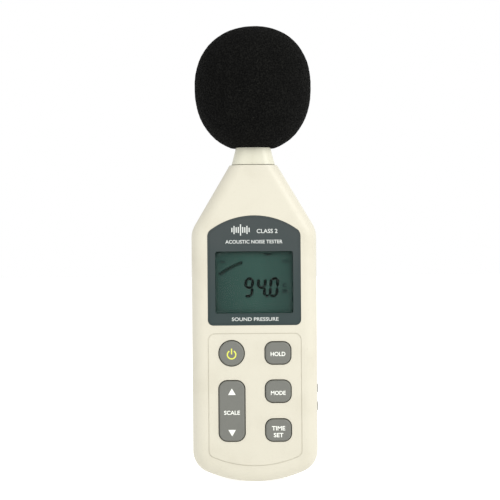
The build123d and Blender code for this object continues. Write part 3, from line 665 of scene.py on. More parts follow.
@dataclass(frozen=True)
class Finish(ABC):
    """A surface finish that builds its own material."""

    def build(self, name: str) -> bpy.types.Material:
        """Make the material."""
        shader = Shader(name)
        return self.paint(shader, shader.position())

    @abstractmethod
    def paint(self, shader: Shader, place: bpy.types.NodeSocket) -> bpy.types.Material:
        """Fill in the shader.

        Args:
            shader: The empty shader.
            place: Place on the piece, in metres.

        Returns:
            The finished material.
        """


@dataclass(frozen=True)
class MouldedPlastic(Finish):
    """Injection-moulded plastic with a fine eroded grain, faint clouding, handling marks and painted shade in
    the grain's hollows.

    Attributes:
        colour: Clean colour.
        soil: Colour of dust and skin grease in the grain, also used as painted shade in the grain's hollows.
        roughness: Mean roughness.
        grain: Size of the grain, in millimetres.
        relief: Depth of the grain, in millimetres.
        soiling: Strength of the soil and of the painted shade.
    """

    colour: Colour
    soil: Colour
    roughness: float = 0.42
    grain: float = 0.5
    relief: float = 0.03
    soiling: float = 0.25

    def paint(self, shader: Shader, place: bpy.types.NodeSocket) -> bpy.types.Material:
        """Fill in the shader."""
        coarse = shader.cells(place, self.grain * MM, "SMOOTH_F1")
        fine = shader.noise(place, self.grain * MM * 0.6, 3)
        cloud = shader.noise(place, 18 * MM, 3)
        specks = shader.noise(place, 0.9 * MM, 2).smooth(0.64, 0.74)
        rubs = shader.noise(shader.position((0.25, 1, 1)), 1.4 * MM, 4, 0.7).smooth(0.58, 0.7)
        # Dust and grease in random patches and specks, plus painted shade where the grain is low (1 - fine).
        soil = (cloud.smooth(0.45, 0.75) * 0.5 + specks * 0.6 + (1 - fine) * 0.25) * self.soiling
        return shader.surface(
            Base_Color=shader.mix(soil, self.colour, self.soil),
            Roughness=(cloud - 0.5) * 0.14 + fine * 0.08 - rubs * 0.1 + self.roughness,
            Normal=shader.bump(fine * 0.55 + coarse * 0.45, self.relief * MM),
            IOR=1.5,
        )


@dataclass(frozen=True)
class PanelPlastic(Finish):
    """Dark satin facia that pales towards its top, with hairline rubs.

    Attributes:
        colour: Colour at its foot.
        pale: Colour at its top.
        foot: Height of its lower edge, in metres.
        top: Height of its upper edge, in metres.
    """

    colour: Colour
    pale: Colour
    foot: float
    top: float

    def paint(self, shader: Shader, place: bpy.types.NodeSocket) -> bpy.types.Material:
        """Fill in the shader."""
        up = shader.parts(place)[2]
        fine = shader.noise(place, 0.25 * MM, 3)
        cloud = shader.noise(place, 14 * MM, 2)
        hairs = shader.noise(shader.position((0.04, 1, 1)), 0.5 * MM, 3, 0.6).smooth(0.6, 0.72)
        paler = up.smooth(self.foot, self.top) * 0.6 + cloud * 0.3 + hairs * 0.25
        return shader.surface(
            Base_Color=shader.mix(paler, self.colour, self.pale),
            Roughness=cloud * 0.12 - hairs * 0.1 + 0.3,
            Normal=shader.bump(fine, 0.012 * MM),
            Specular_IOR_Level=0.3,
        )


@dataclass(frozen=True)
class Rubber(Finish):
    """Silicone rubber with a dull bloom and fine dust."""

    colour: Colour
    bloom: Colour
    roughness: float = 0.7

    def paint(self, shader: Shader, place: bpy.types.NodeSocket) -> bpy.types.Material:
        """Fill in the shader."""
        cloud = shader.noise(place, 5 * MM, 3)
        dust = shader.noise(place, 0.5 * MM, 2).smooth(0.62, 0.75)
        grain = shader.noise(place, 0.3 * MM, 2)
        return shader.surface(
            Base_Color=shader.mix(cloud.smooth(0.4, 0.8) * 0.5 + dust * 0.4, self.colour, self.bloom),
            Roughness=cloud * 0.15 + (self.roughness - 0.08),
            Normal=shader.bump(grain, 0.03 * MM),
        )


@dataclass(frozen=True)
class Metal(Finish):
    """Drawn, turned or plated metal with fine lay lines and a little tarnish.

    Attributes:
        colour: Clean metal colour.
        tarnish: Colour of the dull places.
        roughness: Mean roughness.
        lay: Stretch of the pattern; a small factor draws the lines out along that axis.
    """

    colour: Colour
    tarnish: Colour
    roughness: float = 0.3
    lay: Colour = (0.05, 1, 1)

    def paint(self, shader: Shader, place: bpy.types.NodeSocket) -> bpy.types.Material:
        """Fill in the shader."""
        lines = shader.noise(shader.position(self.lay), 0.25 * MM, 3, 0.6)
        cloud = shader.noise(place, 9 * MM, 2)
        dull = cloud.smooth(0.3, 0.9) * 0.3
        return shader.surface(
            Base_Color=shader.mix(dull + lines * 0.15, self.colour, self.tarnish),
            Metallic=1.0,
            Roughness=lines * 0.16 + dull * 0.2 + (self.roughness - 0.08),
            Normal=shader.bump(lines, 0.01 * MM),
        )


@dataclass(frozen=True)
class Acrylic(Finish):
    """Clear window with finger smears and a few specks of dust."""

    tint: Colour
    cover: float = 0.05

    def paint(self, shader: Shader, place: bpy.types.NodeSocket) -> bpy.types.Material:
        """Fill in the shader."""
        smear = shader.noise(shader.position((1, 1, 0.4)), 6 * MM, 4, 0.6).smooth(0.5, 0.8)
        dust = shader.noise(place, 0.5 * MM, 1).smooth(0.76, 0.82)
        return shader.surface(
            Base_Color=shader.mix(dust, self.tint, (0.7, 0.7, 0.66)),
            Roughness=smear * 0.1 + 0.04,
            Alpha=smear * 0.03 + dust * 0.25 + self.cover,
            IOR=1.49,
        )


@dataclass(frozen=True)
class LiquidCrystal(Finish):
    """Grey-green reflective display: painted light in its middle, darker near the window's edges, with a
    faint raster.

    Attributes:
        deep: Colour towards the sides.
        pale: Colour in the middle, painted light.
        edge: Colour near the window's edges, partly the display's seal border and partly painted shade from
            the window's rim.
        centre: Height of the window's middle, in metres.
        half: Half of the window's width and height, in metres.
    """

    deep: Colour
    pale: Colour
    edge: Colour
    centre: float
    half: Point

    def paint(self, shader: Shader, place: bpy.types.NodeSocket) -> bpy.types.Material:
        """Fill in the shader."""
        across, _, up = shader.parts(place)
        mottle = shader.noise(place, 7 * MM, 3)
        raster = (up * (math.tau / (0.45 * MM))).cosine() * 0.5 + 0.5
        # Painted light: paler towards the middle.
        lit = (1 - abs(across).smooth(0.0, self.half[0])) * 0.8 + mottle * 0.3
        body = shader.mix(lit + raster * 0.06, self.deep, self.pale)
        # Darker near the window's edges: seal border and painted shade from the window's rim.
        side = abs(across).smooth(self.half[0] - 3.5 * MM, self.half[0])
        above = (up - self.centre).smooth(self.half[1] - 4.5 * MM, self.half[1])
        return shader.surface(
            Base_Color=shader.mix((side * 0.6).at_least(above), body, self.edge),
            Roughness=mottle * 0.1 + 0.35,
            Normal=shader.bump(shader.noise(place, 0.3 * MM, 2), 0.006 * MM),
            Specular_IOR_Level=0.1,
        )


@dataclass(frozen=True)
class Ink(Finish):
    """Screen-printed ink: slightly uneven cover with pinholes and rubbed spots."""

    colour: Colour
    worn: Colour
    roughness: float = 0.5
    shine: float = 0.5

    def paint(self, shader: Shader, place: bpy.types.NodeSocket) -> bpy.types.Material:
        """Fill in the shader."""
        pinholes = shader.noise(place, 0.22 * MM, 2).smooth(0.6, 0.74)
        rubs = shader.noise(place, 1.6 * MM, 3).smooth(0.55, 0.8)
        return shader.surface(
            Base_Color=shader.mix(pinholes * 0.35 + rubs * 0.25, self.colour, self.worn),
            Roughness=rubs * 0.1 + self.roughness,
            Normal=shader.bump(pinholes, 0.01 * MM),
            Specular_IOR_Level=self.shine,
        )


@dataclass(frozen=True)
class OpenCellFoam(Finish):
    """Reticulated foam: painted shade in the cells, paler struts as painted highlight where light catches,
    and lint.

    Attributes:
        colour: Colour inside the cells, painted shade.
        strut: Colour of the cell walls, painted highlight.
        lint: Colour of dust on the surface.
        cell: Size of a cell, in millimetres.
    """

    colour: Colour
    strut: Colour
    lint: Colour
    cell: float = 0.9

    def paint(self, shader: Shader, place: bpy.types.NodeSocket) -> bpy.types.Material:
        """Fill in the shader."""
        wall = shader.cells(place, self.cell * MM)
        fine = shader.cells(place, self.cell * MM * 0.5)
        cloud = shader.noise(place, 9 * MM, 3)
        lint = shader.noise(place, 0.7 * MM, 2).smooth(0.66, 0.74)
        # Painted shade in the cells, painted highlight on the struts.
        struts = wall.smooth(0.35, 0.8) * 0.6 + fine.smooth(0.4, 0.8) * 0.4
        skin = shader.mix(struts * (cloud * 0.8 + 0.3), self.colour, self.strut)
        return shader.surface(
            Base_Color=shader.mix(lint * 0.5, skin, self.lint),
            Roughness=1 - struts * 0.15,
            Normal=shader.bump(wall * 0.6 + fine * 0.4, 0.45 * MM),
            Specular_IOR_Level=0.05,
        )


@dataclass(frozen=True)
class Laminate(Finish):
    """Circuit board: green mask over copper runs, with through holes that show as bright dots."""

    mask: Colour
    copper: Colour
    pitch: float = 2.6

    def paint(self, shader: Shader, place: bpy.types.NodeSocket) -> bpy.types.Material:
        """Fill in the shader."""
        x, _, z = shader.parts(place)
        flat = shader.vector(x, z, 0.0)
        scale = 1 / (self.pitch * 4 * MM)
        bricks = {"Vector": flat, "Scale": scale, "Mortar Size": 0.03, "Mortar Smooth": 0.2}
        runs = Value(shader, shader.node("ShaderNodeTexBrick", inputs=bricks).outputs["Fac"])
        dots = 1 - shader.cells(flat, self.pitch * MM).smooth(0.1, 0.16)
        cloud = shader.noise(place, 6 * MM, 3)
        mask = shader.mix(cloud * 0.4 + runs * 0.5, self.mask, self.copper)
        return shader.surface(
            Base_Color=shader.mix(dots, mask, srgb(206, 200, 180)),
            Roughness=cloud * 0.15 + 0.28,
            Metallic=dots * 0.8,
            Normal=shader.bump(runs + dots, 0.04 * MM),
        )


@dataclass(frozen=True)
class CellSleeve(Finish):
    """Battery cell: printed shrink sleeve with a pale band, and bare metal at both ends."""

    sleeve: Colour
    band: Colour
    metal: Colour
    half_length: float

    def paint(self, shader: Shader, place: bpy.types.NodeSocket) -> bpy.types.Material:
        """Fill in the shader."""
        across = abs(shader.parts(place)[0])
        bare = across.smooth(self.half_length - 1.7 * MM, self.half_length - 1.4 * MM)
        band = across.smooth(14 * MM, 14.2 * MM) * (1 - across.smooth(20 * MM, 20.2 * MM))
        creases = shader.noise(shader.position((0.1, 1, 1)), 1.2 * MM, 3)
        printed = shader.mix(band, self.sleeve, self.band)
        return shader.surface(
            Base_Color=shader.mix(bare, shader.mix(creases * 0.2, printed, (0.0, 0.0, 0.0)), self.metal),
            Metallic=bare,
            Roughness=creases * 0.2 + 0.2,
            Normal=shader.bump(creases, 0.03 * MM),
        )


@dataclass(frozen=True)
class LabelFilm(Finish):
    """Matt silver polyester label with faint brushed lines and rubbed places."""

    colour: Colour
    worn: Colour

    def paint(self, shader: Shader, place: bpy.types.NodeSocket) -> bpy.types.Material:
        """Fill in the shader."""
        lines = shader.noise(shader.position((0.03, 1, 1)), 0.2 * MM, 3)
        rubs = shader.noise(place, 4 * MM, 4).smooth(0.55, 0.75)
        return shader.surface(
            Base_Color=shader.mix(lines * 0.3 + rubs * 0.3, self.colour, self.worn),
            Metallic=0.35,
            Roughness=lines * 0.15 + 0.35,
            Normal=shader.bump(lines, 0.006 * MM),
        )


@dataclass(frozen=True)
class PaleFloor(Finish):
    """Matt white studio paper that stays bright under the object."""

    colour: Colour
    glow: float

    def paint(self, shader: Shader, place: bpy.types.NodeSocket) -> bpy.types.Material:
        """Fill in the shader."""
        fibres = shader.noise(place, 8 * MM, 3)
        return shader.surface(
            Base_Color=shader.mix(fibres * 0.1, self.colour, (0.5, 0.5, 0.49)),
            Roughness=0.9,
            Emission_Color=(1.0, 1.0, 1.0),
            Emission_Strength=self.glow,
        )


def plastic(*display: int, roughness: float = 0.42, **sizes: float) -> MouldedPlastic:
    """Moulded plastic of a display colour, whose soil colour, used for dust and for painted shade in the
    grain, is a darker, browner tone of it.

    Args:
        display: The three channels, 0 to 255.
        roughness: Mean roughness.
        sizes: Other fields of the finish.

    Returns:
        The finish.
    """
    clean = srgb(*display)
    soil = (clean[0] * 0.6, clean[1] * 0.56, clean[2] * 0.48)
    return MouldedPlastic(clean, soil, roughness, **sizes)


class Palette:
    """Holds the finish of every material slot, each built once."""

    def __init__(self) -> None:
        """Choose the finishes."""
        window_low, window_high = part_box("display_window")
        panel_low, panel_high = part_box("display_panel")
        cell_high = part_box("battery_cells")[1]
        glass = LiquidCrystal(
            srgb(34, 59, 54),
            srgb(43, 72, 65),
            srgb(30, 47, 43),
            centre_of("display_window").z,
            ((window_high.x - window_low.x) / 2, (window_high.z - window_low.z) / 2),
        )
        steel = Metal(srgb(196, 196, 192), srgb(140, 136, 128), 0.3)
        self.finishes: dict[Slot, Finish] = {
            Slot.CASING: plastic(200, 196, 180, roughness=0.4),
            Slot.COLLAR: plastic(208, 206, 188, roughness=0.38, grain=0.35, relief=0.015),
            Slot.PANEL: PanelPlastic(srgb(37, 53, 53), srgb(60, 65, 65), panel_low.z, panel_high.z),
            Slot.WINDOW: Acrylic(srgb(56, 66, 62)),
            Slot.GLASS: glass,
            Slot.BACKLIGHT: plastic(236, 240, 232, roughness=0.5, soiling=0.08),
            Slot.WHITE: plastic(228, 226, 216, roughness=0.4, relief=0.01),
            Slot.STRIP: Rubber(srgb(170, 90, 86), srgb(205, 160, 150)),
            Slot.BOARD: Laminate(srgb(18, 84, 48), srgb(70, 120, 60)),
            Slot.CHIP: plastic(38, 38, 40, roughness=0.5, grain=0.2, relief=0.01),
            Slot.CAPACITOR: Metal(srgb(190, 192, 196), srgb(60, 64, 86), 0.3, (1, 0.05, 1)),
            Slot.CRYSTAL: Metal(srgb(206, 204, 196), srgb(160, 156, 146), 0.25),
            Slot.SOCKET: plastic(30, 30, 31, roughness=0.35, relief=0.01),
            Slot.TRIMMER: plastic(38, 76, 140, roughness=0.4, relief=0.01),
            Slot.ROTOR: Metal(srgb(206, 172, 96), srgb(150, 116, 60), 0.3),
            Slot.MAT: Rubber(srgb(92, 94, 90), srgb(130, 132, 126)),
            Slot.KEY: plastic(105, 106, 100, roughness=0.48, grain=0.4, relief=0.02, soiling=0.3),
            Slot.PILL: Rubber(srgb(32, 32, 33), srgb(66, 66, 66), 0.85),
            Slot.CELL: CellSleeve(srgb(22, 42, 78), srgb(196, 170, 104), srgb(200, 200, 196), cell_high.x),
            Slot.CONTACT: Metal(srgb(206, 204, 196), srgb(150, 142, 126), 0.22, (1, 1, 0.05)),
            Slot.RED_LEAD: plastic(176, 32, 28, roughness=0.35, relief=0.005),
            Slot.BLACK_LEAD: plastic(26, 26, 27, roughness=0.35, relief=0.005),
            Slot.GREY_LEAD: plastic(120, 122, 124, roughness=0.4, relief=0.005),
            Slot.PAD: OpenCellFoam(srgb(62, 62, 64), srgb(118, 118, 118), srgb(170, 168, 160), 0.5),
            Slot.SCREW: steel,
            Slot.INSERT: Metal(srgb(202, 170, 100), srgb(140, 108, 58), 0.32, (1, 0.05, 1)),
            Slot.LABEL: LabelFilm(srgb(198, 198, 192), srgb(160, 160, 154)),
            Slot.BARREL: Metal(srgb(150, 152, 152), srgb(98, 98, 98), 0.3, (1, 1, 0.05)),
            Slot.CAPSULE: Metal(srgb(188, 188, 184), srgb(126, 124, 118), 0.28, (1, 1, 0.05)),
            Slot.SEAL: Rubber(srgb(34, 34, 34), srgb(70, 70, 68)),
            Slot.FOAM: OpenCellFoam(srgb(7, 7, 7), srgb(26, 26, 24), srgb(50, 50, 44)),
        }
        self.made: dict[str, bpy.types.Material] = {}

    def material(self, slot: Slot) -> bpy.types.Material:
        """The material of a slot, built at its first use."""
        return self.special(slot.value, self.finishes[slot])

    def special(self, name: str, finish: Finish) -> bpy.types.Material:
        """A material outside the slots, such as an ink, built at its first use."""
        if name not in self.made:
            self.made[name] = finish.build(f"finish_{name}")
        return self.made[name]

    def dress(self, nodes: Sequence[str]) -> None:
        """Give frame nodes the finish of the slot that their record names.

        Args:
            nodes: Names of the nodes.
        """
        for node in nodes:
            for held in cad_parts[node].material_slots:
                held.material = self.material(Slot(held.material.name.split(".")[0]))
            LOG.info("dressed %s", node)


# ---------------------------------------------------------------- sub-assemblies


class Inks(Enum):
    """The inks that marks are printed in: the material's name and the finish."""

    WHITE = ("ink_white", Ink(srgb(232, 234, 226), srgb(176, 178, 170)))
    GREY = ("ink_grey", Ink(srgb(200, 204, 200), srgb(140, 146, 144)))
    LIME = ("ink_lime", Ink(srgb(214, 216, 84), srgb(160, 164, 70)))
    BLACK = ("ink_black", Ink(srgb(44, 44, 42), srgb(96, 94, 88)))
    SEGMENT = ("display_segment", Ink(srgb(3, 7, 6), srgb(8, 14, 12), 0.5, 0.05))


@dataclass
class SubAssembly:
    """What every sub-assembly shares: the palette, its frame nodes and the way that pieces join the frame.

    Attributes:
        palette: The finishes.
        nodes: The frame nodes that it dresses.
    """

    palette: Palette
    nodes: ClassVar[tuple[str, ...]] = ()

    def build(self) -> None:
        """Dress the frame nodes, then make the new pieces."""
        self.palette.dress(self.nodes)
        self.make()

    def make(self) -> None:
        """Make the new pieces, if there are any."""

    def join(self, piece: bpy.types.Object, body: Body, slot: Slot | None = None) -> bpy.types.Object:
        """Make a finished piece ride on a body.

        Args:
            piece: The piece.
            body: The body that it moves with.
            slot: The material slot named for the piece; not used.

        Returns:
            The piece.
        """
        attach(piece, body.value)
        LOG.info("made %s on %s, %d faces", piece.name, body.value, len(piece.data.polygons))
        return piece

    def print_marks(
        self, name: str, marks: Sequence[bpy.types.Mesh], ink: Inks, body: Body, slot: Slot | None = None
    ) -> None:
        """Join marks into one printed piece.

        Args:
            name: The piece's name.
            marks: Their meshes, which are used up.
            ink: Their ink.
            body: The body that they move with.
            slot: The material slot named for the marks, handed on to join.
        """
        self.join(new_piece(name, joined(marks, name), self.palette.special(*ink.value)), body, slot)


@dataclass
class FoamPores:
    """Pits of an open-cell foam, pressed into a dense skin.

    Attributes:
        voxel: Spacing of the skin's points.
        cell: Size of a pit.
        depth: Depth of a pit.
        wave: Size of the slow waves over the surface.
        wave_depth: Depth of those waves.
    """

    voxel: float
    cell: float
    depth: float
    wave: float
    wave_depth: float

    def press(self, piece: bpy.types.Object, material: bpy.types.Material) -> bpy.types.Object:
        """Give a piece an even skin and press the pits into it.

        Args:
            piece: A closed skin.
            material: The foam's material.

        Returns:
            The same piece with its new mesh.
        """
        remesh = piece.modifiers.new("even_skin", "REMESH")
        remesh.mode = "VOXEL"
        remesh.voxel_size = self.voxel
        freeze(piece)
        sizes = {"Cell": self.cell, "Depth": self.depth, "Wave": self.wave, "Wave depth": self.wave_depth}
        tree = GeometryTree(f"{piece.name}_pores", sizes)
        place = tree.read("GeometryNodeInputPosition")
        cells = tree.node("ShaderNodeTexVoronoi", inputs={"Vector": place, "Scale": 1 / tree.size("Cell")})
        pit = 1 - Value(tree, cells.outputs["Distance"]).smooth(0.15, 0.6)
        noise = tree.node("ShaderNodeTexNoise", inputs={"Vector": place, "Scale": 1 / tree.size("Wave")})
        wave = Value(tree, noise.outputs[0])
        inwards = pit * tree.size("Depth") + wave * tree.size("Wave depth")
        normal = tree.read("GeometryNodeInputNormal")
        push = tree.node("ShaderNodeVectorMath", {"operation": "SCALE"}, {0: normal, "Scale": 0 - inwards})
        inputs = {"Geometry": tree.start.outputs[0], "Offset": push.outputs[0]}
        moved = tree.node("GeometryNodeSetPosition", inputs=inputs)
        tree.finish(moved.outputs[0], material)
        for face in tree.run(piece).data.polygons:
            face.use_smooth = True
        return piece


@dataclass
class Windscreen(SubAssembly):
    """The pull-off foam ball: a full round form with a flat foot and a blind bore.

    Attributes:
        upper_power: Squareness of the upper half.
        lower_power: Squareness of the lower half.
        foot_angle: Where the side meets the foot, in radians below the middle.
        bore_clearance: Gap between the bore and the microphone's grid.
        bore_headroom: Room above the grid, inside the bore.
        lean: How far the top leans to one side.
        arc_steps: Number of steps along the half section.
        turns: Number of points round a ring.
        pores: The foam's pits.
    """

    upper_power: float = 2.22
    lower_power: float = 2.2
    foot_angle: float = math.radians(69.5)
    bore_clearance: float = 0.15 * MM
    bore_headroom: float = 1.5 * MM
    lean: float = 0.9 * MM
    arc_steps: int = 26
    turns: int = 120
    pores: FoamPores = field(
        default_factory=lambda: FoamPores(0.46 * MM, 1.25 * MM, 0.34 * MM, 7 * MM, 0.3 * MM)
    )

    def make(self) -> None:
        """Make the foam ball."""
        material = self.palette.material(Slot.FOAM)
        ball = self.pores.press(new_piece("windscreen_foam", self._skin(), material), material)
        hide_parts("windscreen")
        self.join(ball, Body.WINDSCREEN, Slot.FOAM)

    def _profile(self) -> Outline:
        """Half section as radius and height, from the bore's blind end round to the top."""
        low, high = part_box("windscreen")
        centre = (low.z + high.z) / 2
        radius, semi = (high.x - low.x) / 2, (high.z - low.z) / 2
        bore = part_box("mic_grid")[1].x + self.bore_clearance
        bore_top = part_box("mic_grid")[1].z + self.bore_headroom
        points = [(0.0, bore_top), (bore, bore_top), (bore, low.z)]
        lower_semi = semi / math.sin(self.foot_angle) ** (2 / self.lower_power)
        for i in range(self.arc_steps + 1):
            turn = -self.foot_angle + (self.foot_angle + math.pi / 2) * i / self.arc_steps
            power = self.upper_power if turn > 0 else self.lower_power
            reach = radius * abs(math.cos(turn)) ** (2 / power)
            tall = semi if turn > 0 else lower_semi
            rise = tall * math.copysign(abs(math.sin(turn)) ** (2 / power), turn)
            points.append((reach if i < self.arc_steps else 0.0, centre + rise))
        return points

    def _skin(self) -> bpy.types.Mesh:
        """Turn the half section about the microphone's axis and lean its top."""
        low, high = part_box("windscreen")
        centre = (low + high) / 2
        semi = (high.z - low.z) / 2
        form = bmesh.new()
        rings = []
        for radius, height in self._profile():
            bend = self.lean * max(0.0, (height - centre.z) / semi) ** 2
            count = self.turns if radius > 0 else 1
            ring = []
            for angle in (math.tau * (i / count) for i in range(count)):
                x = centre.x + bend + radius * math.cos(angle)
                ring.append(form.verts.new((x, centre.y + radius * math.sin(angle), height)))
            rings.append(ring)
        for near, far in zip(rings, rings[1:]):
            for i in range(self.turns):
                sides = [near[i % len(near)], near[(i + 1) % len(near)]]
                sides += [far[(i + 1) % len(far)], far[i % len(far)]]
                form.faces.new(list(dict.fromkeys(sides)))
        return closed_mesh(form, "windscreen_skin", smooth=True)


@dataclass
class Casing(SubAssembly):
    """The two shells, the sockets and the small legends beside them."""

    legend_height: float = 1.5 * MM
    legend_start: float = 4.7 * MM
    nodes = ("front_shell", "rear_shell", "output_jack", "dc_jack")

    def make(self) -> None:
        """Print the side legends."""
        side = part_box("rear_shell")[1].x
        marks = []
        for node, text, width in (
            ("output_jack", "OUTPUT", 6.2 * MM),
            ("dc_jack", "DC 6V", 5.4 * MM),
            ("trimmer_rotor", "CAL", 3.3 * MM),
        ):
            place = centre_of(node)
            middle = (place.y + self.legend_start + width / 2, place.z)
            word = Lettering(text, middle, width, self.legend_height)
            marks.append(word.mesh(Facing.RIGHT, side))
        self.print_marks("side_legends", marks, Inks.BLACK, Body.CASING)


@dataclass
class SevenSegment:
    """Slanted seven-segment figures.

    Attributes:
        height: Height of a figure.
        width: Width of a figure.
        stroke: Width of a segment.
        pitch: Distance from one figure to the next.
        slant: Sideways lean for each unit of height.
    """

    height: float
    width: float
    stroke: float
    pitch: float
    slant: float = 0.08

    LIT = {"0": "abcdef", "4": "bcfg", "9": "abcdfg"}

    def outlines(self, figures: str, start: Point) -> list[Outline]:
        """Outlines of the lit segments.

        Args:
            figures: Digits, with a point where the decimal point stands.
            start: Lower left corner of the first digit.

        Returns:
            One outline for each segment and point.
        """
        made, x = [], start[0]
        for mark in figures:
            if mark == ".":
                dot = (x - (self.pitch - self.width) / 2, start[1] + self.stroke / 2)
                made.append(self._lean(rectangle(dot, self.stroke, self.stroke), start[1]))
                continue
            bars = [self._bar(name, (x, start[1])) for name in self.LIT[mark]]
            made.extend(self._lean(bar, start[1]) for bar in bars)
            x += self.pitch
        return made

    def _lean(self, outline: Outline, base: float) -> Outline:
        """Lean an outline over to the right."""
        return [(x + (y - base) * self.slant, y) for x, y in outline]

    def _bar(self, name: str, corner: Point) -> Outline:
        """Six-sided outline of one segment."""
        x, y = corner
        half, mid = self.stroke / 2, self.height / 2
        gap = self.stroke * 0.04
        left, right = x + half, x + self.width - half
        levels = {"a": y + self.height - half, "g": y + mid, "d": y + half}
        if name in levels:
            z = levels[name]
            ends = ((left + gap, z), (right - gap, z))
            normal, along = (0, half), (half, 0)
        else:
            column = left if name in "ef" else right
            low, high = (y + half, y + mid) if name in "ec" else (y + mid, y + self.height - half)
            ends = ((column, low + gap), (column, high - gap))
            normal, along = (half, 0), (0, half)
        (x0, y0), (x1, y1) = ends
        (nx, ny), (ax, ay) = normal, along
        return [
            (x0, y0),
            (x0 + ax + nx, y0 + ay + ny),
            (x1 - ax + nx, y1 - ay + ny),
            (x1, y1),
            (x1 - ax - nx, y1 - ay - ny),
            (x0 + ax - nx, y0 + ay - ny),
        ]


@dataclass
class TickArc:
    """Short dashes along an arc, like the scale of a pointer instrument."""

    count: int
    radius: float
    start: float
    sweep: float
    length: float
    width: float

    def draw(self, name: str, centre: Vector, material: bpy.types.Material) -> bpy.types.Object:
        """Draw the dashes.

        Args:
            name: The piece's name.
            centre: Centre of the arc, on the face that carries it.
            material: Their material.

        Returns:
            The piece.
        """
        sizes = {
            "Radius": self.radius,
            "Start": self.start,
            "Step": self.sweep / (self.count - 1),
            "Length": self.length,
            "Width": self.width,
        }
        tree = GeometryTree(name, sizes)
        angle = tree.size("Start") - Value(tree, tree.read("GeometryNodeInputIndex")) * tree.size("Step")
        x = angle.cosine() * tree.size("Radius") + centre.x
        z = angle.sine() * tree.size("Radius") + centre.z
        place = tree.vector(x, centre.y + (INK_SUNK - INK_PROUD) / 2, z)
        size = tree.vector(tree.size("Length"), INK_SUNK + INK_PROUD, tree.size("Width"))
        dashes = tree.cubes(self.count, size, place, Rotation=tree.vector(0.0, 0 - angle, 0.0))
        tree.finish(dashes, material)
        return tree.run(new_piece(name))


@dataclass
class SoundBars:
    """A row of upright bars that swell and fade like a sound wave."""

    count: int
    pitch: float
    bar: float
    tall: float

    def draw(self, name: str, centre: Vector, material: bpy.types.Material) -> bpy.types.Object:
        """Draw the bars.

        Args:
            name: The piece's name.
            centre: Middle of the row, on the face that carries it.
            material: Their material.

        Returns:
            The piece.
        """
        tree = GeometryTree(name, {"Pitch": self.pitch, "Bar": self.bar, "Tall": self.tall})
        place = Value(tree, tree.read("GeometryNodeInputIndex")) - (self.count - 1) / 2
        x = place * tree.size("Pitch") + centre.x
        spot = tree.vector(x, centre.y + (INK_SUNK - INK_PROUD) / 2, centre.z)
        swell = abs((place * (math.pi / 3)).cosine()) * (1 - abs(place) / self.count)
        height = (swell * 0.9 + 0.15) * tree.size("Tall")
        size = tree.vector(tree.size("Bar"), INK_SUNK + INK_PROUD, height)
        tree.finish(tree.cubes(self.count, (1.0, 1.0, 1.0), spot, Scale=size), material)
        return tree.run(new_piece(name))


@dataclass
class Display(SubAssembly):
    """The facia, its window, the display behind it and everything printed or shown there.

    Attributes:
        figure: Shape of the figures.
        figures_start: Lower left corner of the first figure, from the window's middle.
        scale: The arc of dashes.
        scale_hub: The arc's centre, from the window's middle.
        bars: The sound wave on the facia.
        bars_place: Its middle, from the facia's middle and its upper edge.
        weight: How much the letters' strokes are thickened.
    """

    figure: SevenSegment = field(
        default_factory=lambda: SevenSegment(11.4 * MM, 5.5 * MM, 1.75 * MM, 7.0 * MM)
    )
    figures_start: Point = (-6.2 * MM, -8.6 * MM)
    scale: TickArc = field(
        default_factory=lambda: TickArc(
            11, 45.5 * MM, math.radians(126.4), math.radians(17.0), 1.9 * MM, 0.95 * MM
        )
    )
    scale_hub: Point = (8.1 * MM, -32.0 * MM)
    bars: SoundBars = field(default_factory=lambda: SoundBars(9, 1.2 * MM, 0.62 * MM, 6.0 * MM))
    bars_place: Point = (-7.4 * MM, -8.0 * MM)
    weight: float = 0.03
    nodes = (
        "display_panel",
        "display_window",
        "lcd_front_glass",
        "lcd_rear_glass",
        "lcd_frame",
        "backlight_panel",
        "elastomer_strips",
    )

    def make(self) -> None:
        """Draw on the glass and print on the facia."""
        self._draw_reading()
        self._print_facia()

    def _draw_reading(self) -> None:
        """Characters on the display: the reading, its units and the arc of dashes."""
        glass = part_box("lcd_front_glass")[0].y
        middle = centre_of("display_window")
        figures = Relief(Facing.FRONT, -glass)
        start = (middle.x + self.figures_start[0], middle.z + self.figures_start[1])
        figures.add(*self.figure.outlines("94.0", start))
        marks = [figures.mesh("figures")]
        for text, x, z, width, height in (
            ("C", 17.0, -1.8, 2.2, 2.3),
            ("SPL", 17.5, -5.2, 3.8, 2.2),
            ("TIME", 7.5, 15.4, 4.6, 1.4),
            ("HOLD", 17.5, 11.5, 3.8, 1.4),
            ("CELL", -17.5, 11.5, 3.6, 1.4),
        ):
            centre = (middle.x + x * MM, middle.z + z * MM)
            word = Lettering(text, centre, width * MM, height * MM, self.weight)
            marks.append(word.mesh(Facing.FRONT, -glass))
        self.print_marks("display_reading", marks, Inks.SEGMENT, Body.CASING, Slot.GLASS)
        hub = Vector((middle.x + self.scale_hub[0], glass, middle.z + self.scale_hub[1]))
        material = self.palette.special(*Inks.SEGMENT.value)
        self.join(self.scale.draw("display_scale", hub, material), Body.CASING, Slot.GLASS)

    def _print_facia(self) -> None:
        """Printing on the facia above and below the window."""
        low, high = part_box("display_panel")
        window_low, window_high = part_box("display_window")
        words = []
        for text, x, z, width, height, weight in (
            ("CLASS 2", 7.4, high.z - 8.7 * MM, 11.6, 2.3, 0.012),
            ("ACOUSTIC NOISE TESTER", 0.0, window_high.z + 4.2 * MM, 31.8, 2.0, 0.012),
            ("SOUND PRESSURE", 0.4, window_low.z - 2.1 * MM, 26.0, 2.0, 0.01),
        ):
            word = Lettering(text, (x * MM, z), width * MM, height * MM, weight)
            words.append(word.mesh(Facing.FRONT, -low.y))
        self.print_marks("facia_printing", words, Inks.GREY, Body.CASING, Slot.PANEL)
        place = Vector((self.bars_place[0], low.y, high.z + self.bars_place[1]))
        ink = self.palette.special(*Inks.GREY.value)
        self.join(self.bars.draw("facia_sound_bars", place, ink), Body.CASING, Slot.PANEL)


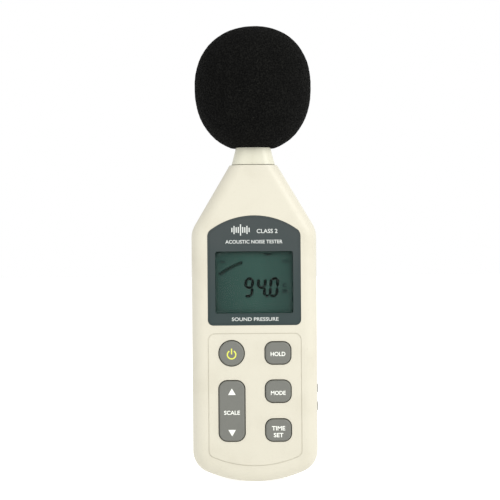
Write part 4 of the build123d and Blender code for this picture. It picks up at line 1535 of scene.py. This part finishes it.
@dataclass
class Legend:
    """What one key carries.

    Attributes:
        node: The key's node.
        body: The body that the key moves with.
        words: Text, offset from the key's middle, width and height, in millimetres.
        arrows: Offset of each triangle above the middle and its direction, up or down.
        power_mark: Whether it carries the open ring and bar of a power key.
    """

    node: str
    body: Body
    words: tuple[tuple[str, float, float, float], ...] = ()
    arrows: tuple[tuple[float, int], ...] = ()
    power_mark: bool = False


@dataclass
class Keypad(SubAssembly):
    """The five keys with their legends, and the rubber sheet behind them.

    Attributes:
        arrow_half: Half of a triangle's width.
        arrow_tall: Height of a triangle.
        ring_radius: Radius of the power mark's ring.
        ring_drop: How far the ring's centre lies below the key's middle.
        ring_gap: Half angle of the ring's opening, in radians.
        bar_rise: Height of the power mark's bar above the ring's centre, as a share of the radius.
        bar_tall: Length of that bar.
        line: Width of the power mark's lines.
        weight: How much the letters' strokes are thickened.
        legends: What each key carries.
    """

    arrow_half: float = 2.1 * MM
    arrow_tall: float = 3.6 * MM
    ring_radius: float = 2.35 * MM
    ring_drop: float = 0.7 * MM
    ring_gap: float = math.radians(32)
    bar_rise: float = 0.75
    bar_tall: float = 3.2 * MM
    line: float = 0.7 * MM
    weight: float = 0.02
    legends: tuple[Legend, ...] = (
        Legend("power_key", Body.POWER, power_mark=True),
        Legend("max_key", Body.MAX, words=(("HOLD", -0.5, 8.2, 2.4),)),
        Legend("weighting_key", Body.WEIGHTING, words=(("MODE", -0.85, 8.2, 2.3),)),
        Legend("response_key", Body.RESPONSE, words=(("TIME", 1.1, 7.4, 2.4), ("SET", -2.7, 5.4, 2.4))),
        Legend("level_key", Body.LEVEL, words=(("SCALE", -0.9, 8.8, 2.3),), arrows=((10.8, 1), (-12.2, -1))),
    )

    nodes = (
        "power_key",
        "max_key",
        "weighting_key",
        "response_key",
        "level_key",
        "power_key_pill",
        "max_key_pill",
        "weighting_key_pill",
        "response_key_pill",
        "level_key_pills",
        "keypad_mat",
        "keypad_webs",
    )

    def make(self) -> None:
        """Print the keys' legends."""
        for legend in self.legends:
            self._print(legend)

    def _print(self, legend: Legend) -> None:
        """Print one key's legend.

        Args:
            legend: What the key carries.
        """
        middle, top = centre_of(legend.node), -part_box(legend.node)[0].y
        shapes = Relief(Facing.FRONT, top)
        for rise, way in legend.arrows:
            foot = middle.z + rise * MM - way * self.arrow_tall / 2
            left, right = (middle.x - self.arrow_half, foot), (middle.x + self.arrow_half, foot)
            shapes.add([left, right, (middle.x, foot + way * self.arrow_tall)])
        if legend.power_mark:
            x, z = middle.x, middle.z - self.ring_drop
            shapes.add(ring_arc((x, z), self.ring_radius, self.line, self.ring_gap))
            shapes.add(rectangle((x, z + self.ring_radius * self.bar_rise), self.line, self.bar_tall))
        marks = [shapes.mesh("shapes")] if shapes.outlines else []
        for text, rise, width, height in legend.words:
            word = Lettering(text, (middle.x, middle.z + rise * MM), width * MM, height * MM, self.weight)
            marks.append(word.mesh(Facing.FRONT, top))
        ink = Inks.LIME if legend.power_mark else Inks.WHITE
        self.print_marks(f"{legend.node}_legend", marks, ink, legend.body, Slot.KEY)


@dataclass
class PowerSupply(SubAssembly):
    """Battery cells, contacts, leads and the cover with its foam pad.

    Attributes:
        pores: The pad's pits.
        corner: Width of the pad's rounded corners, as a share of its thickness.
        arrow_tip: Height of the cover's arrow above the cover's middle.
        arrow_size: Half width and height of that arrow.
        word_drop: How far the word lies below the arrow's tip.
    """

    pores: FoamPores = field(
        default_factory=lambda: FoamPores(0.2 * MM, 0.7 * MM, 0.07 * MM, 4 * MM, 0.04 * MM)
    )
    corner: float = 0.35
    arrow_tip: float = 9.5 * MM
    arrow_size: Point = (3 * MM, 4 * MM)
    word_drop: float = 7.0 * MM
    nodes = (
        "battery_cells",
        "battery_contact_plates",
        "battery_springs",
        "battery_lead_red",
        "battery_lead_black",
        "battery_connector",
        "battery_cover",
    )

    def make(self) -> None:
        """Make the pad and print the cover's arrow."""
        self._make_pad()
        self._print_cover()

    def _make_pad(self) -> None:
        """Foam strip: a rounded block with pressed pores, a little softer at its corners."""
        low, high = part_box("battery_cover_pad")
        form = bmesh.new()
        bmesh.ops.create_cube(form, size=1.0)
        size = high - low
        for vert in form.verts:
            vert.co = (low + high) / 2 + Vector(vert.co[i] * size[i] for i in range(3))
        material = self.palette.material(Slot.PAD)
        pad = new_piece("battery_cover_foam", closed_mesh(form, "pad_block"), material)
        bevel = pad.modifiers.new("soft_edges", "BEVEL")
        bevel.width = size.y * self.corner
        bevel.segments = 3
        self.pores.press(freeze(pad), material)
        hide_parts("battery_cover_pad")
        self.join(pad, Body.COVER, Slot.PAD)

    def _print_cover(self) -> None:
        """OPEN and its arrow, printed in black on the cover."""
        low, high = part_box("battery_cover")
        middle = (low + high) / 2
        mark = Relief(Facing.BACK, high.y, proud=0.04 * MM)
        x, tip = -middle.x, middle.z + self.arrow_tip
        half, tall = self.arrow_size
        mark.add([(x - half, tip - tall), (x + half, tip - tall), (x, tip)])
        word = Lettering("OPEN", (x, tip - self.word_drop), 8.4 * MM, 2.2 * MM)
        marks = [mark.mesh("arrow"), word.mesh(Facing.BACK, high.y)]
        self.print_marks("battery_cover_mark", marks, Inks.BLACK, Body.COVER)


@dataclass
class Electronics(SubAssembly):
    """Circuit board with its chips, capacitors, connectors and the calibration trimmer."""

    nodes = (
        "main_board",
        "microcontroller",
        "analog_chips",
        "electrolytic_capacitors",
        "smd_parts",
        "crystal",
        "mic_connector",
        "trimmer_body",
        "trimmer_rotor",
    )


@dataclass
class Microphone(SubAssembly):
    """Collar, barrel, capsule, grid, seal and lead."""

    nodes = (
        "neck_collar",
        "mic_barrel",
        "mic_capsule",
        "mic_insulator",
        "mic_grid",
        "barrel_seal",
        "mic_lead",
    )


@dataclass
class BackFittings(SubAssembly):
    """Screws, tripod insert and the label with its generic lines."""

    nodes = ("casing_screws", "board_screws", "tripod_insert", "rating_label")

    def make(self) -> None:
        """Print the label."""
        low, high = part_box("rating_label")
        middle = (low + high) / 2
        lines = []
        for text, rise, width, height in (
            ("ACOUSTIC NOISE TESTER", 4.4, 32.0, 2.4),
            ("CLASS 2   SOUND PRESSURE", 0.2, 28.0, 1.8),
            ("6 V  4 x 1.5 V CELLS", -4.0, 26.0, 1.8),
        ):
            word = Lettering(text, (-middle.x, middle.z + rise * MM), width * MM, height * MM)
            lines.append(word.mesh(Facing.BACK, high.y))
        self.print_marks("label_printing", lines, Inks.BLACK, Body.CASING, Slot.LABEL)


# ---------------------------------------------------------------- studio


@dataclass
class Studio:
    """Pale floor, soft lights, bright surroundings and the camera.

    Attributes:
        distance: From the camera to the casing's parting plane.
        span: Width seen at that plane.
        aim_height: Height of the view's middle above the object's foot.
        aim_side: Sideways place of the view's middle.
        roll: Turn of the camera about its own axis, in degrees.
        sensor: Width of the camera's sensor, in millimetres.
        floor_half: Half of the floor's side.
    """

    palette: Palette
    distance: float = 0.80
    span: float = 283.0 * MM
    aim_height: float = 129.7 * MM
    aim_side: float = -2.2 * MM
    roll: float = -0.45
    sensor: float = 36.0
    floor_half: float = 6.0

    def build(self) -> None:
        """Set up the floor, the surroundings, the lights and the camera."""
        self._floor()
        self._surroundings()
        self._soft_light("key_light", (0.55, -0.75, 0.62), 0.55, 6.0, (1.0, 0.99, 0.97))
        self._soft_light("back_light", (0.35, 0.8, 0.6), 0.7, 1.0, (1.0, 1.0, 1.0))
        self._camera()
        bpy.context.scene.view_settings.view_transform = "Standard"

    def _floor(self) -> None:
        """A wide sheet under the object."""
        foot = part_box("front_shell")[0].z
        side = self.floor_half * 2
        form = bmesh.new()
        form.faces.new([form.verts.new((x, y, foot)) for x, y in rectangle((0.0, 0.0), side, side)])
        mesh = bpy.data.meshes.new("studio_floor")
        form.to_mesh(mesh)
        form.free()
        floor = new_piece("studio_floor", mesh, PaleFloor((0.55, 0.55, 0.545), 0.72).build("finish_floor"))

    def _surroundings(self) -> None:
        """Even white all round."""
        world = bpy.data.worlds.new("studio")
        bpy.context.scene.world = world
        world.use_nodes = True
        tree = NodeTree(world.node_tree)
        light = tree.node("ShaderNodeBackground", inputs={"Color": (1.0, 1.0, 1.0), "Strength": 1.0})
        tree.node("ShaderNodeOutputWorld", inputs={"Surface": light.outputs[0]})

    @staticmethod
    def _soft_light(name: str, place: Sequence[float], size: float, power: float, colour: Colour) -> None:
        """Add a square soft light aimed at the object's middle.

        Args:
            name: The light's name.
            place: Where it stands.
            size: Its side.
            power: Its power, in watts.
            colour: Its colour.
        """
        light = bpy.data.lights.new(name, "AREA")
        light.size = size
        light.energy = power
        light.color = colour
        lamp = bpy.data.objects.new(name, light)
        bpy.context.scene.collection.objects.link(lamp)
        lamp.location = place
        lamp.rotation_euler = (Vector((0, 0, 0.03)) - Vector(place)).to_track_quat("-Z", "Y").to_euler()

    def _camera(self) -> None:
        """Camera straight in front, level, with a slight roll."""
        data = bpy.data.cameras.new("camera")
        data.sensor_width = self.sensor
        data.lens = self.sensor * self.distance / self.span
        camera = bpy.data.objects.new("camera", data)
        bpy.context.scene.collection.objects.link(camera)
        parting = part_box("rear_shell")[0].y
        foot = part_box("front_shell")[0].z
        place = Vector((self.aim_side, parting - self.distance, foot + self.aim_height))
        turn = Matrix.Rotation(math.radians(90), 4, "X") @ Matrix.Rotation(math.radians(self.roll), 4, "Z")
        camera.matrix_world = Matrix.Translation(place) @ turn
        data.clip_start, data.clip_end = 0.01, 50.0
        bpy.context.scene.camera = camera


def main() -> None:
    """Build every sub-assembly, then the studio."""
    logging.basicConfig(level=logging.INFO, format="%(name)s: %(message)s")
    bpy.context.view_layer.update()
    palette = Palette()
    parts: tuple[type[SubAssembly], ...]
    parts = (Casing, Display, Keypad, PowerSupply, Electronics, Microphone, BackFittings, Windscreen)
    for part in parts:
        LOG.info("building %s", part.__name__)
        part(palette).build()
    Studio(palette).build()


if __name__ == "__main__":
    main()
